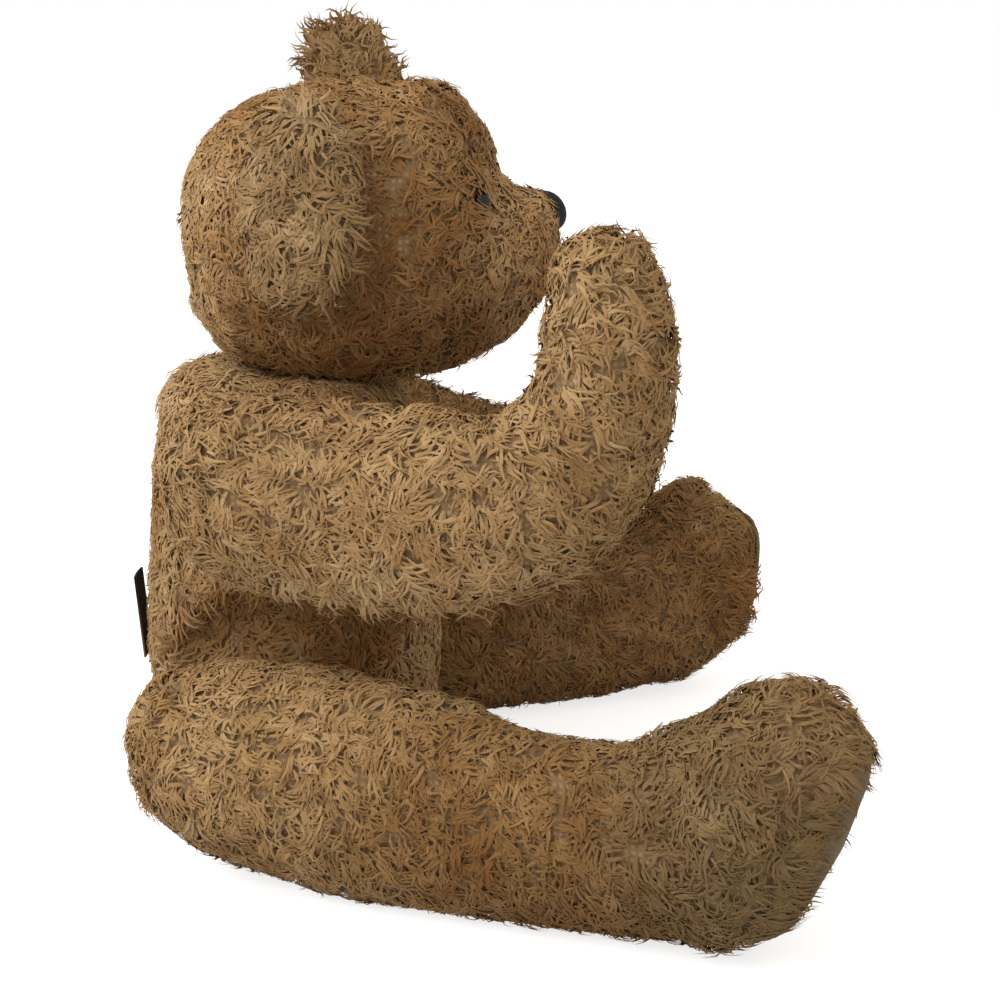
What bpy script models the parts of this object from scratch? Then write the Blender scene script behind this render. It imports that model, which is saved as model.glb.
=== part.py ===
# A seated mohair teddy bear with five disc joints: head, two arms and two legs.
# Metres. The bear faces +X, its right side is towards -Y, and it sits on the floor at Z = 0.
# The origin is the middle of the bear's outline, on the floor.

import math

import bmesh
import bpy
from mathutils import Matrix, Vector
from mathutils.bvhtree import BVHTree

# Cloth and clearances
COVER = 0.0020              # mohair cloth with its woven back
GAP = 0.0003                # between pieces that lie on one another
SEAT_FLAT = 0.0005          # how much the floor flattens a stuffed piece
FLAT_SINK = 0.0070          # how much a joint presses a limb flat against the body

# Body: a pear on its flat seat
NECK_HEIGHT = 0.1500
BODY_CROWN = 0.0090         # how far its round top would reach above the neck's flat
BODY_HEIGHT = NECK_HEIGHT + BODY_CROWN
BODY_DEPTH = 0.1030
BODY_WIDTH = 0.1010
BODY_X = -0.0608
BODY_LEAN = 0.0005

# Head: a round skull with a short muzzle low on its front
NECK_FORE = 0.0100          # in front of the body's middle
NECK_X = BODY_X + NECK_FORE
SKULL_LENGTH = 0.1000
SKULL_HEIGHT = 0.1005
SKULL_WIDTH = 0.0960
SKULL_BACK = 0.0440         # from the neck's axis to the back of the head
SKULL_DROP = 0.0070         # how far the skull's round base would reach below the neck's flat
MUZZLE_LENGTH = 0.0245
MUZZLE_HEIGHT = 0.0520
MUZZLE_WIDTH = 0.0500
MUZZLE_RISE = 0.0410        # from the skull's base to the muzzle's middle at its root
MUZZLE_TIP_RISE = 0.0100    # how much higher the tip is than the root

# Arms: a straight upper arm, a bend at the wrist and a paw turned up
SHOULDER_DROP = 0.0275      # below the neck's flat
SHOULDER_BACK = 0.0010      # behind the body's middle
SHOULDER_HEIGHT = NECK_HEIGHT - SHOULDER_DROP
SHOULDER_X = BODY_X - SHOULDER_BACK
SHOULDER_WIDTH = 0.0850     # across the body, between the two flats
SHOULDER_END = 0.0345
ARM_REACH = 0.0990
ARM_DROOP = 3.0
ELBOW_RADIUS = 0.0340
FOREARM_LENGTH = 0.0515
UPPER_ARM_DEPTH = 0.0675
WRIST_DEPTH = 0.0600
FOREARM_DEPTH = 0.0430
ARM_THICKNESS = 0.0480
PAW_THICKNESS = 0.0370
ARM_FLAT_RADIUS = 0.0280
ARM_CLEAR_RADIUS = 0.0500   # where the arm has leaned out past the ear
ARM_CLEAR = 0.0145          # how far it has leaned out there
ARM_LEAN = 0.0325           # how far the paw leans out
ARM_SPARE = 0.0010          # what the trim leaves off the paw
ARM_LEFT_LOWER = 17.5       # the left arm rests lower than the right one

# Legs: splayed outwards, with the sole tilted under
HIP_HEIGHT = 0.0380
HIP_BACK = 0.0035           # behind the body's middle
HIP_X = BODY_X - HIP_BACK
HIP_WIDTH = 0.0770          # across the body, between the two flats
LEG_SPLAY = 17.0
HIP_END = 0.0380
HIP_FLAT_RADIUS = 0.0400
HIP_FLARE = 0.0300          # how far out the room for the leg widens
LEG_LENGTH = 0.1845
THIGH_DEPTH = 0.0720
ANKLE_DEPTH = 0.0570
FOOT_DEPTH = 0.0890
THIGH_THICKNESS = 0.0590
ANKLE_THICKNESS = 0.0540
FOOT_WIDTH = 0.0640
SOLE_TILT = 22.0

# Ears: cupped ovals of two cloths, one on each side of the head
EAR_LENGTH = 0.0650
EAR_WIDTH = 0.0450
EAR_THICKNESS = 0.0070
EAR_CUP = 0.0060
RIGHT_EAR_FORE = 0.0010     # in front of the neck's axis
RIGHT_EAR_UP = 17.93        # up from the side of the head to its top
RIGHT_EAR_LEAN = -16.0
RIGHT_EAR_TURN = 12.0
RIGHT_EAR_ROLL = 0.0
LEFT_EAR_FORE = 0.0150
LEFT_EAR_UP = 60.64
LEFT_EAR_LEAN = 4.0
LEFT_EAR_TURN = 12.0
LEFT_EAR_ROLL = -22.0       # its tip leans to the back
EAR_SINK = 0.0040

# Face
EYE_DIAMETER = 0.0070
EYE_DOME = 0.0028
EYE_SHANK = 0.0060
EYE_WIRE = 0.0014
EYE_RISE = 0.0565           # above the neck's flat
EYE_SPACING = 0.0500
NOSE_WIDTH = 0.0190
NOSE_HEIGHT = 0.0135
NOSE_DEPTH = 0.0110
NOSE_RISE = 0.0510          # above the neck's flat
NOSE_SINK = 0.0022
MOUTH_THREAD = 0.0014
MOUTH_DROP = 0.0100
MOUTH_SPREAD = 0.0110
MOUTH_FALL = 0.0075

# Felt pads
FELT = 0.0020
SOLE_PAD_LENGTH = 0.0640
SOLE_PAD_WIDTH = 0.0440
PAW_PAD_LENGTH = 0.0360
PAW_PAD_WIDTH = 0.0250
PAW_PAD_DROP = 0.0240       # from the paw's tip to the pad's middle

# Cloth tab in the back seam
TAB_LENGTH = 0.0290
TAB_WIDTH = 0.0120
TAB_THICKNESS = 0.0008
TAB_HEIGHT = 0.0510
TAB_TILT = 4.0

# Joints: two fibreboard discs, two steel washers and a split pin at each
NECK_DISC = 0.0280
SHOULDER_DISC = 0.0280
HIP_DISC = 0.0280
DISC_THICKNESS = 0.0025
WASHER_DIAMETER = 0.0130
WASHER_THICKNESS = 0.0010
PIN_WIRE = 0.0013
PIN_SPLIT = 0.0002          # between the pin's two legs
PIN_EYE = 0.0050
PIN_CURL = 0.0042
PIN_PLAY = 0.0004

BODY_SIDES = 8
LEG_SIDES = 8
ARM_SIDES = 6

# Shares of the body's height, depth and width at each ring of its cage
BODY_RINGS = (
    (0.010, 0.66, 0.66),
    (0.120, 0.94, 0.89),
    (0.340, 1.02, 0.98),
    (0.580, 0.97, 1.01),
    (0.780, 0.92, 0.99),
    (0.900, 0.82, 0.88),
    (0.975, 0.58, 0.60),
)

# Shares of the skull's length, of its height for the middle and the half height, and of its width
SKULL_RINGS = (
    (0.045, 0.540, 0.42, 0.40),
    (0.180, 0.510, 0.84, 0.78),
    (0.420, 0.500, 1.01, 0.99),
    (0.670, 0.500, 1.01, 1.00),
    (0.880, 0.505, 0.92, 0.86),
    (0.990, 0.440, 0.66, 0.64),
)

# Shares of the muzzle's length, of its rise, and of its height and width
MUZZLE_RINGS = (
    (0.30, 0.05, 0.98, 0.96),
    (0.80, 0.55, 0.72, 0.76),
)


def collection(name):
    group = bpy.data.collections.new(name)
    bpy.context.scene.collection.children.link(group)
    return group


for old in list(bpy.data.objects):
    bpy.data.objects.remove(old)

bear = collection("teddy_bear")
cutters = collection("cutters")


# Materials


def material(name, colour, roughness, metallic=0.0):
    made = bpy.data.materials.new(name)
    made.use_nodes = True
    shader = made.node_tree.nodes["Principled BSDF"]
    shader.inputs["Base Color"].default_value = (*colour, 1.0)
    shader.inputs["Roughness"].default_value = roughness
    shader.inputs["Metallic"].default_value = metallic
    return made


mohair = material("golden_mohair", (0.36, 0.24, 0.12), 0.95)
stuffing = material("wood_wool", (0.62, 0.50, 0.31), 0.95)
felt = material("wool_felt", (0.26, 0.22, 0.14), 0.95)
glass = material("black_glass", (0.006, 0.005, 0.004), 0.08)
floss = material("black_floss", (0.010, 0.010, 0.012), 0.45)
tabCloth = material("dark_tab_cloth", (0.045, 0.022, 0.030), 0.85)
board = material("fibreboard", (0.24, 0.15, 0.08), 0.85)
steel = material("bright_steel", (0.56, 0.55, 0.53), 0.35, 1.0)


# Objects and modifiers


def place(mesh, name, look, group=None, smooth=True):
    made = bpy.data.objects.new(name, mesh)
    (group or bear).objects.link(made)
    if look:
        mesh.materials.append(look)
    if smooth:
        mesh.shade_smooth()
        mesh.set_sharp_from_angle(angle=math.radians(40))
    if group is cutters:
        made.hide_render = True
        made.display_type = "WIRE"
    return made


def boolean(target, tool, operation="DIFFERENCE"):
    made = target.modifiers.new(tool.name, "BOOLEAN")
    made.operation = operation
    made.solver = "EXACT"
    made.object = tool


def measure(made):
    bpy.context.view_layer.update()
    graph = bpy.context.evaluated_depsgraph_get()
    evaluated = made.evaluated_get(graph)
    mesh = evaluated.to_mesh()
    mesh.transform(made.matrix_world)
    points = [Vector(v.co) for v in mesh.vertices]
    faces = [tuple(f.vertices) for f in mesh.polygons]
    evaluated.to_mesh_clear()
    return points, faces


def surface(made):
    return BVHTree.FromPolygons(*measure(made))


def hang(made, pivot):
    made.parent = pivot
    made.matrix_parent_inverse = pivot.matrix_world.inverted()


def pivotAt(name, position):
    empty = bpy.data.objects.new(name, None)
    empty.location = position
    empty.empty_display_size = 0.02
    bear.objects.link(empty)
    bpy.context.view_layer.update()
    return empty


def box(name, low, high):
    mesh = bpy.data.meshes.new(name)
    form = bmesh.new()
    size = Vector(high) - Vector(low)
    middle = (Vector(high) + Vector(low)) / 2
    bmesh.ops.create_cube(form, size=1.0, matrix=Matrix.Translation(middle) @ Matrix.Diagonal((*size, 1.0)))
    form.to_mesh(mesh)
    form.free()
    return place(mesh, name, None, cutters, smooth=False)


def turned(name, profile, closed, frame, look, steps, group=None):
    # A profile of (radius, height) points that runs down its outer side, spun about the frame's Z axis.
    mesh = bpy.data.meshes.new(name)
    form = bmesh.new()
    verts = [form.verts.new((radius, 0.0, height)) for radius, height in profile]
    pairs = list(zip(verts, verts[1:]))
    if closed:
        pairs.append((verts[-1], verts[0]))
    for pair in pairs:
        form.edges.new(pair)
    form.to_mesh(mesh)
    form.free()
    made = place(mesh, name, look, group, smooth=False)
    spin = made.modifiers.new("spin", "SCREW")
    spin.angle = math.tau
    spin.steps = steps
    spin.render_steps = steps
    spin.use_merge_vertices = True
    spin.merge_threshold = 0.00002
    spin.use_smooth_shade = False
    made.matrix_world = frame
    return made


# Soft forms: a cage of rings, smoothed once


def cage(rings, start, end, sides):
    # One smoothing pass draws a ring of points in to this share of its radius.
    drawn = 0.75 + 0.25 * math.cos(math.tau / sides)
    form = bmesh.new()
    loops = []
    for centre, tall, wide, halfTall, halfWide in rings:
        loop = []
        for k in range(sides):
            turn = math.tau * k / sides
            reach = tall * (math.cos(turn) * halfTall) + wide * (math.sin(turn) * halfWide)
            loop.append(form.verts.new(centre + reach / drawn))
        loops.append(loop)
    for lower, upper in zip(loops, loops[1:]):
        for k in range(sides):
            form.faces.new((lower[k], lower[k - 1], upper[k - 1], upper[k]))
    for loop, tip in ((loops[0], start), (loops[-1], end)):
        pole = form.verts.new(tip)
        for k in range(sides):
            form.faces.new((loop[k], loop[k - 1], pole))
    bmesh.ops.recalc_face_normals(form, faces=form.faces)
    mesh = bpy.data.meshes.new("cage")
    form.to_mesh(mesh)
    form.free()
    return mesh


def soft(name, mesh, look, offset, group=None, smoothing=1):
    made = place(mesh.copy(), name, look, group)
    if smoothing:
        round_ = made.modifiers.new("smooth", "SUBSURF")
        round_.levels = smoothing
        round_.render_levels = smoothing
        # The same diagonals in every copy keep two offsets of one form parallel.
        split = made.modifiers.new("split", "TRIANGULATE")
        split.quad_method = "FIXED"
    if offset:
        grow = made.modifiers.new("offset", "DISPLACE")
        grow.mid_level = 0.0
        grow.strength = offset
    return made


def settle(mesh):
    # Lowers a cage until its smoothed form is pressed into the floor by the seat's flat.
    probe = soft("probe", mesh, None, 0.0, cutters)
    lowest = min(p.z for p in measure(probe)[0])
    bpy.data.objects.remove(probe)
    mesh.transform(Matrix.Translation((0.0, 0.0, -SEAT_FLAT - lowest)))


def ease(value):
    value = min(max(value, 0.0), 1.0)
    return value * value * (3.0 - 2.0 * value)


def between(table, at):
    # Smooth values between the (place, value) pairs of a table.
    for (a, low), (b, high) in zip(table, table[1:]):
        if at <= b:
            return low + (high - low) * ease((at - a) / (b - a))
    return table[-1][1]


def bodyCage():
    up = Vector((0.0, 0.0, 1.0))
    rings = []
    for share, depth, width in BODY_RINGS:
        centre = Vector((BODY_X + BODY_LEAN * share * share, 0.0, BODY_HEIGHT * share))
        rings.append((centre, Vector((1, 0, 0)), Vector((0, 1, 0)), depth * BODY_DEPTH / 2, width * BODY_WIDTH / 2))
    top = Vector((BODY_X + BODY_LEAN, 0.0, BODY_HEIGHT))
    mesh = cage(rings, Vector((BODY_X, 0.0, 0.0)), top + up * 0.0, BODY_SIDES)
    settle(mesh)
    return mesh


def headCage():
    back = NECK_X - SKULL_BACK
    base = NECK_HEIGHT - SKULL_DROP
    tall, wide = Vector((0, 0, 1)), Vector((0, 1, 0))
    rings = []
    for share, middle, height, width in SKULL_RINGS:
        centre = Vector((back + SKULL_LENGTH * share, 0.0, base + SKULL_HEIGHT * middle))
        rings.append((centre, tall, wide, height * SKULL_HEIGHT / 2, width * SKULL_WIDTH / 2))
    brow = back + SKULL_LENGTH
    for share, rise, height, width in MUZZLE_RINGS:
        centre = Vector((brow + MUZZLE_LENGTH * share, 0.0, base + MUZZLE_RISE + MUZZLE_TIP_RISE * rise))
        rings.append((centre, tall, wide, height * MUZZLE_HEIGHT / 2, width * MUZZLE_WIDTH / 2))
    nape = Vector((back, 0.0, base + SKULL_HEIGHT * SKULL_RINGS[0][1]))
    tip = Vector((brow + MUZZLE_LENGTH, 0.0, base + MUZZLE_RISE + MUZZLE_TIP_RISE))
    return cage(rings, nape, tip, BODY_SIDES)


def armSpine(s):
    # The arm's middle line in its own plane, from the shoulder's pivot: place and direction.
    start = ARM_REACH - ELBOW_RADIUS
    droop = math.radians(-ARM_DROOP)
    along = Vector((math.cos(droop), 0.0, math.sin(droop)))
    bend = math.radians(90.0 + ARM_DROOP)
    if s <= start:
        return along * s, droop
    turn = min((s - start) / ELBOW_RADIUS, bend)
    side = Vector((-math.sin(droop), 0.0, math.cos(droop)))
    place_ = along * (start + ELBOW_RADIUS * math.sin(turn)) + side * (ELBOW_RADIUS * (1.0 - math.cos(turn)))
    heading = droop + turn
    rest = s - start - ELBOW_RADIUS * bend
    if rest > 0.0:
        place_ = place_ + Vector((math.cos(heading), 0.0, math.sin(heading))) * rest
    return place_, heading


def armLength():
    return ARM_REACH - ELBOW_RADIUS + ELBOW_RADIUS * math.radians(90.0 + ARM_DROOP) + FOREARM_LENGTH


def armCage(side, lower):
    # side is -1 on the right and 1 on the left; lower turns the arm down about its pivot.
    start = ARM_REACH - ELBOW_RADIUS
    bendEnd = armLength() - FOREARM_LENGTH
    tip = armLength()
    depths = (
        (-SHOULDER_END * 0.82, UPPER_ARM_DEPTH * 0.56),
        (-SHOULDER_END * 0.35, UPPER_ARM_DEPTH * 0.95),
        (start * 0.30, UPPER_ARM_DEPTH * 1.01),
        (start, WRIST_DEPTH * 1.01),
        (start + (bendEnd - start) * 0.50, WRIST_DEPTH * 0.56 + FOREARM_DEPTH * 0.56),
        (bendEnd, FOREARM_DEPTH * 1.05),
        (bendEnd + FOREARM_LENGTH * 0.50, FOREARM_DEPTH * 0.99),
        (bendEnd + FOREARM_LENGTH * 0.86, FOREARM_DEPTH * 0.70),
    )
    thicknesses = (
        (-SHOULDER_END * 0.82, ARM_THICKNESS * 0.56),
        (-SHOULDER_END * 0.35, ARM_THICKNESS * 0.95),
        (0.0, ARM_THICKNESS),
        (start, ARM_THICKNESS * 0.97),
        (bendEnd, PAW_THICKNESS * 1.03),
        (bendEnd + FOREARM_LENGTH * 0.50, PAW_THICKNESS * 0.98),
        (bendEnd + FOREARM_LENGTH * 0.86, PAW_THICKNESS * 0.70),
    )
    leans = ((ARM_FLAT_RADIUS * 0.4, 0.0), (start, ARM_LEAN * 0.66), (bendEnd, ARM_LEAN))
    face = SHOULDER_WIDTH / 2 + GAP / 2 - FLAT_SINK
    swing = Matrix.Rotation(math.radians(lower), 3, "Y")
    pivot = Vector((SHOULDER_X, 0.0, SHOULDER_HEIGHT))

    def point(s):
        flat, heading = armSpine(s)
        out = face + between(thicknesses, max(s, 0.0)) / 2 + between(leans, s)
        at = pivot + swing @ flat
        at.y = side * out
        tall = swing @ Vector((-math.sin(heading), 0.0, math.cos(heading)))
        return at, tall

    rings = []
    for s, depth in depths:
        at, tall = point(s)
        rings.append((at, tall, Vector((0, side, 0)), depth / 2, between(thicknesses, s) / 2))
    return cage(rings, point(-SHOULDER_END)[0], point(tip)[0], ARM_SIDES)


def legFrame(side):
    # The leg's plane: forward along the leg, up, and out from the body.
    splay = math.radians(LEG_SPLAY)
    forward = Vector((math.cos(splay), side * math.sin(splay), 0.0))
    out = Vector((-math.sin(splay), side * math.cos(splay), 0.0))
    pivot = Vector((HIP_X, side * HIP_WIDTH / 2, HIP_HEIGHT))
    return pivot, forward, out


def legCage(side):
    pivot, forward, out = legFrame(side)
    up = Vector((0, 0, 1))
    face = GAP / 2 - FLAT_SINK
    calf = LEG_LENGTH * 0.69
    rows = (
        (-HIP_END * 0.84, THIGH_DEPTH * 0.60, THIGH_THICKNESS * 0.62, 0.0),
        (-HIP_END * 0.34, THIGH_DEPTH * 0.97, THIGH_THICKNESS * 1.00, 0.0),
        (LEG_LENGTH * 0.16, THIGH_DEPTH * 1.02, THIGH_THICKNESS * 1.02, 0.0),
        (LEG_LENGTH * 0.38, THIGH_DEPTH * 0.55 + ANKLE_DEPTH * 0.46, THIGH_THICKNESS * 0.98, 0.0),
        (calf, ANKLE_DEPTH * 1.01, ANKLE_THICKNESS * 1.02, 0.0),
        (LEG_LENGTH * 0.790, ANKLE_DEPTH * 0.45 + FOOT_DEPTH * 0.56, FOOT_WIDTH * 0.94, SOLE_TILT * 0.30),
        (LEG_LENGTH * 0.890, FOOT_DEPTH * 1.02, FOOT_WIDTH * 1.02, SOLE_TILT * 0.75),
        (LEG_LENGTH * 0.970, FOOT_DEPTH * 0.82, FOOT_WIDTH * 0.84, SOLE_TILT),
    )
    rings = []
    for s, depth, thick, tilt in rows:
        lean = math.radians(tilt)
        tall = up * math.cos(lean) + forward * math.sin(lean)
        height = depth / 2 * math.cos(lean) if s > 0 else HIP_HEIGHT
        if s > calf:
            height = max(height, FOOT_DEPTH / 2 * math.cos(lean) * 0.93)
        full = max(thick, THIGH_THICKNESS if s < 0 else thick)
        centre = pivot + forward * s + out * (face + full / 2)
        centre.z = height
        rings.append((centre, tall, out, depth / 2, thick / 2))
    hip = pivot - forward * HIP_END + out * (face + THIGH_THICKNESS / 2)
    sole = pivot + forward * LEG_LENGTH + out * (face + FOOT_WIDTH / 2)
    sole.z = FOOT_DEPTH * 0.40
    mesh = cage(rings, hip, sole, LEG_SIDES)
    settle(mesh)
    return mesh


def earCage(side, fore, rise, lean, turn, roll, headSurface):
    mesh = bpy.data.meshes.new("ear")
    form = bmesh.new()
    bmesh.ops.create_uvsphere(form, u_segments=8, v_segments=5, radius=0.5)
    for vert in form.verts:
        u, v, w = vert.co
        vert.co = (u * EAR_WIDTH, v * EAR_THICKNESS * 1.25, w * EAR_LENGTH)
        vert.co.y += EAR_CUP * (1.0 - (2 * u) ** 2 - (2 * w) ** 2) * 0.8
    form.to_mesh(mesh)
    form.free()
    middle = Vector((NECK_X + fore, 0, NECK_HEIGHT - SKULL_DROP + SKULL_HEIGHT / 2))
    out = Vector((0, side * math.cos(math.radians(rise)), math.sin(math.radians(rise))))
    hit = headSurface.ray_cast(middle + out * SKULL_HEIGHT * 2, -out)[0]
    stand = Matrix.Translation(hit + Vector((0, side * (EAR_THICKNESS / 2 - EAR_SINK), 0)))
    pose = Matrix.Rotation(math.radians(-side * lean), 4, "X")
    pose = pose @ Matrix.Rotation(math.radians(side * turn), 4, "Z")
    pose = pose @ Matrix.Rotation(math.radians(roll), 4, "Y")
    flip = Matrix.Diagonal((1.0, side, 1.0, 1.0))
    mesh.transform(stand @ pose @ flip)
    if side < 0:
        mesh.flip_normals()
    return mesh


# Joint hardware, stacked along each joint's axis from the joint's plane

WALL_FACE = GAP / 2 + COVER
DISC_START = WALL_FACE + GAP
DISC_END = DISC_START + DISC_THICKNESS
WASHER_START = DISC_END + GAP
WASHER_END = WASHER_START + WASHER_THICKNESS
PIN_START = WASHER_END + GAP
PIN_HALF = (PIN_WIRE + PIN_SPLIT) / 2
HOLE = PIN_HALF + PIN_WIRE / 2 + PIN_PLAY
PIN_ROOM = max(PIN_HALF + PIN_CURL + PIN_WIRE / 2, WASHER_DIAMETER / 2) + GAP
PIN_DEPTH = PIN_START + max(PIN_CURL, PIN_EYE + PIN_WIRE) + PIN_WIRE + 2 * GAP


def jointFrame(position, axis, across):
    # Z along the axis, out from the body.
    z = axis.normalized()
    x = (across - z * across.dot(z)).normalized()
    y = z.cross(x)
    frame = Matrix((x, y, z)).transposed().to_4x4()
    frame.translation = position
    return frame


def ring(name, frame, radius, start, end, look, steps, group=None):
    profile = ((radius, end), (radius, start), (HOLE, start), (HOLE, end))
    return turned(name, profile, True, frame, look, steps, group)


def splitPin(name, frame):
    points = []
    curl = PIN_CURL / 2
    low = -(PIN_START + PIN_WIRE / 2 + curl)
    for k in range(5, -1, -1):
        turn = math.radians(180.0 + 44.0 * k)
        points.append((PIN_HALF + curl + curl * math.cos(turn), low + curl * math.sin(turn)))
    eye = PIN_EYE / 2
    open_ = math.asin(PIN_HALF / eye)
    eyeMiddle = PIN_START + PIN_WIRE / 2 + eye
    for k in range(5):
        turn = -math.pi / 2 + open_ + (math.pi - open_) * k / 4
        points.append((eye * math.cos(turn), eyeMiddle + eye * math.sin(turn)))
    half = points[:-1]
    route = half + [points[-1]] + [(-u, w) for u, w in reversed(half)]
    curve = bpy.data.curves.new(name, "CURVE")
    curve.dimensions = "3D"
    curve.bevel_depth = PIN_WIRE / 2
    curve.bevel_resolution = 1
    curve.use_fill_caps = True
    line = curve.splines.new("POLY")
    line.points.add(len(route) - 1)
    for point, (u, w) in zip(line.points, route):
        point.co = (*(frame @ Vector((u, 0.0, w))), 1.0)
    made = bpy.data.objects.new(name, curve)
    bear.objects.link(made)
    curve.materials.append(steel)
    return made


def hardware(name, frame, discDiameter, pivot):
    # Negative heights are in the body and positive ones in the limb or head.
    made = {}
    for where, sign in (("body", -1), ("limb", 1)):
        low, high = sorted((sign * DISC_START, sign * DISC_END))
        made["disc_" + where] = ring(f"{name}_disc_{where}", frame, discDiameter / 2, low, high, board, 16)
        low, high = sorted((sign * WASHER_START, sign * WASHER_END))
        made["washer_" + where] = ring(f"{name}_washer_{where}", frame, WASHER_DIAMETER / 2, low, high, steel, 10)
    made["pin"] = splitPin(f"{name}_pin", frame)
    for key in ("disc_limb", "washer_limb", "pin"):
        hang(made[key], pivot)
    return made


def pocket(name, frame, discDiameter, sign):
    # The room that one side's disc, washer and pin end take in the stuffing.
    wide = discDiameter / 2 + GAP * 1.2
    step = DISC_END + GAP
    profile = [(0.0, 0.0), (wide, 0.0), (wide, -step), (PIN_ROOM, -step), (PIN_ROOM, -PIN_DEPTH), (0.0, -PIN_DEPTH)]
    if sign > 0:
        profile = [(r, -h) for r, h in reversed(profile)]
    return turned(name, profile, False, frame, None, 16, cutters)


def bore(name, frame, radius, start, end):
    profile = ((0.0, end), (radius, end), (radius, start), (0.0, start))
    return turned(name, profile, False, frame, None, 8, cutters)


# Trims: what each soft form is pressed against. inset moves a trim into the form it cuts.


def floorTrim(name, inset):
    return box(name, (-0.3, -0.3, -0.1), (0.3, 0.3, inset))


def neckTrim(name, sign, inset):
    # sign -1 leaves what is below the neck's plane, and 1 what is above it.
    if sign < 0:
        return box(name, (-0.3, -0.3, NECK_HEIGHT - GAP / 2 - inset), (0.3, 0.3, NECK_HEIGHT + 0.1))
    return box(name, (-0.3, -0.3, NECK_HEIGHT - 0.1), (0.3, 0.3, NECK_HEIGHT + GAP / 2 + inset))


def pushed(profile, distance):
    # The profile moved by a distance at right angles to itself, up for a positive one.
    points = [Vector(point) for point in profile]
    sides = []
    for low, high in zip(points, points[1:]):
        along = (high - low).normalized()
        sides.append(Vector((-along.y, along.x)))
    moved = []
    for k, point in enumerate(points):
        around = sides[max(k - 1, 0)] + sides[min(k, len(sides) - 1)]
        around.normalize()
        moved.append(point + around * (distance / around.dot(sides[min(k, len(sides) - 1)])))
    return [(max(point.x, 0.0), point.y) for point in moved]


def shoulderProfile():
    # Radius from the shoulder's axis, and how far out the arm's inner face is there.
    paw = ARM_LEAN - FLAT_SINK - ARM_SPARE
    return (
        (0.0, 0.0),
        (ARM_FLAT_RADIUS, 0.0),
        (ARM_CLEAR_RADIUS, ARM_CLEAR),
        (ARM_REACH, paw - ARM_SPARE),
        (armLength(), paw),
    )


def hipProfile():
    return ((0.0, 0.0), (HIP_FLAT_RADIUS, 0.0), (HIP_FLAT_RADIUS + HIP_FLARE, HIP_FLARE))


def jointTrim(name, frame, profile, sign, inset):
    # sign -1 cuts the body by the room that the limb sweeps, and 1 cuts the limb's inner face.
    face = pushed(profile, sign * (GAP / 2 + inset))
    if sign < 0:
        outline = [(0.0, 0.08), (face[-1][0], 0.08), *reversed(face)]
    else:
        outline = [*face, (face[-1][0], -0.05), (0.0, -0.05)]
    # A small turn keeps the cutter's edges off the corners of the discs' pockets.
    aside = frame @ Matrix.Rotation(math.radians(5.0), 4, "Z")
    return turned(name, outline, False, aside, None, 16, cutters)


def hipTrim(name, frame, inset):
    made = box(name, (-0.3, -0.3, -0.1), (0.3, 0.3, GAP / 2 + inset))
    made.matrix_world = frame
    return made


def coveredForm(name, mesh, trims, bores, pockets, pivot=None):
    # A cloth cover with the stuffing inside it. trims make a list of cutters for an inset.
    cover = soft(name + "_cover", mesh, mohair, 0.0)
    for trim in trims(name + "_outer", 0.0):
        boolean(cover, trim)
    hollow = soft(name + "_hollow", mesh, None, -COVER, cutters)
    for trim in trims(name + "_inner", COVER):
        boolean(hollow, trim)
    boolean(cover, hollow)
    for tool in bores:
        boolean(cover, tool)
    core = soft(name + "_stuffing", mesh, stuffing, -(COVER + GAP), smoothing=1)
    for trim in trims(name + "_core", COVER + GAP):
        boolean(core, trim)
    for tool in pockets:
        boolean(core, tool)
    if pivot:
        hang(cover, pivot)
        hang(core, pivot)
    return cover, core


def pad(name, mesh, frame, length, width, pivot):
    # A felt pad over a soft form: an oval prism, kept between two offsets of the form's surface.
    oval = bpy.data.meshes.new(name)
    form = bmesh.new()
    shape = frame @ Matrix.Diagonal((length / 2, width / 2, 1.0, 1.0))
    bmesh.ops.create_cone(form, cap_ends=True, segments=24, radius1=1.0, radius2=1.0, depth=0.03, matrix=shape)
    form.to_mesh(oval)
    form.free()
    made = place(oval, name, felt)
    boolean(made, soft(name + "_top", mesh, None, GAP + FELT, cutters), "INTERSECT")
    boolean(made, soft(name + "_bed", mesh, None, GAP, cutters))
    hang(made, pivot)
    return made


# The joints

up = Vector((0, 0, 1))
neckFrame = jointFrame(Vector((NECK_X, 0, NECK_HEIGHT)), up, Vector((0, 1, 0)))
shoulderFrames = {}
hipFrames = {}
pivots = {"head": pivotAt("head_pivot", (NECK_X, 0, NECK_HEIGHT))}
for word, side in (("right", -1), ("left", 1)):
    at = Vector((SHOULDER_X, side * SHOULDER_WIDTH / 2, SHOULDER_HEIGHT))
    shoulderFrames[word] = jointFrame(at, Vector((0, side, 0)), up)
    pivots["arm_" + word] = pivotAt(f"arm_{word}_pivot", at)
    hipPoint, forward, outward = legFrame(side)
    hipFrames[word] = jointFrame(hipPoint, outward, up)
    pivots["leg_" + word] = pivotAt(f"leg_{word}_pivot", hipPoint)

hardware("neck", neckFrame, NECK_DISC, pivots["head"])
for word in ("right", "left"):
    hardware(f"shoulder_{word}", shoulderFrames[word], SHOULDER_DISC, pivots["arm_" + word])
    hardware(f"hip_{word}", hipFrames[word], HIP_DISC, pivots["leg_" + word])


# Body

bores = {"neck": bore("neck_bore", neckFrame, HOLE, -DISC_START, DISC_START)}
for word in ("right", "left"):
    bores["shoulder_" + word] = bore(f"shoulder_{word}_bore", shoulderFrames[word], HOLE, -DISC_START, DISC_START)
    bores["hip_" + word] = bore(f"hip_{word}_bore", hipFrames[word], HOLE, -DISC_START, DISC_START)


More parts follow.
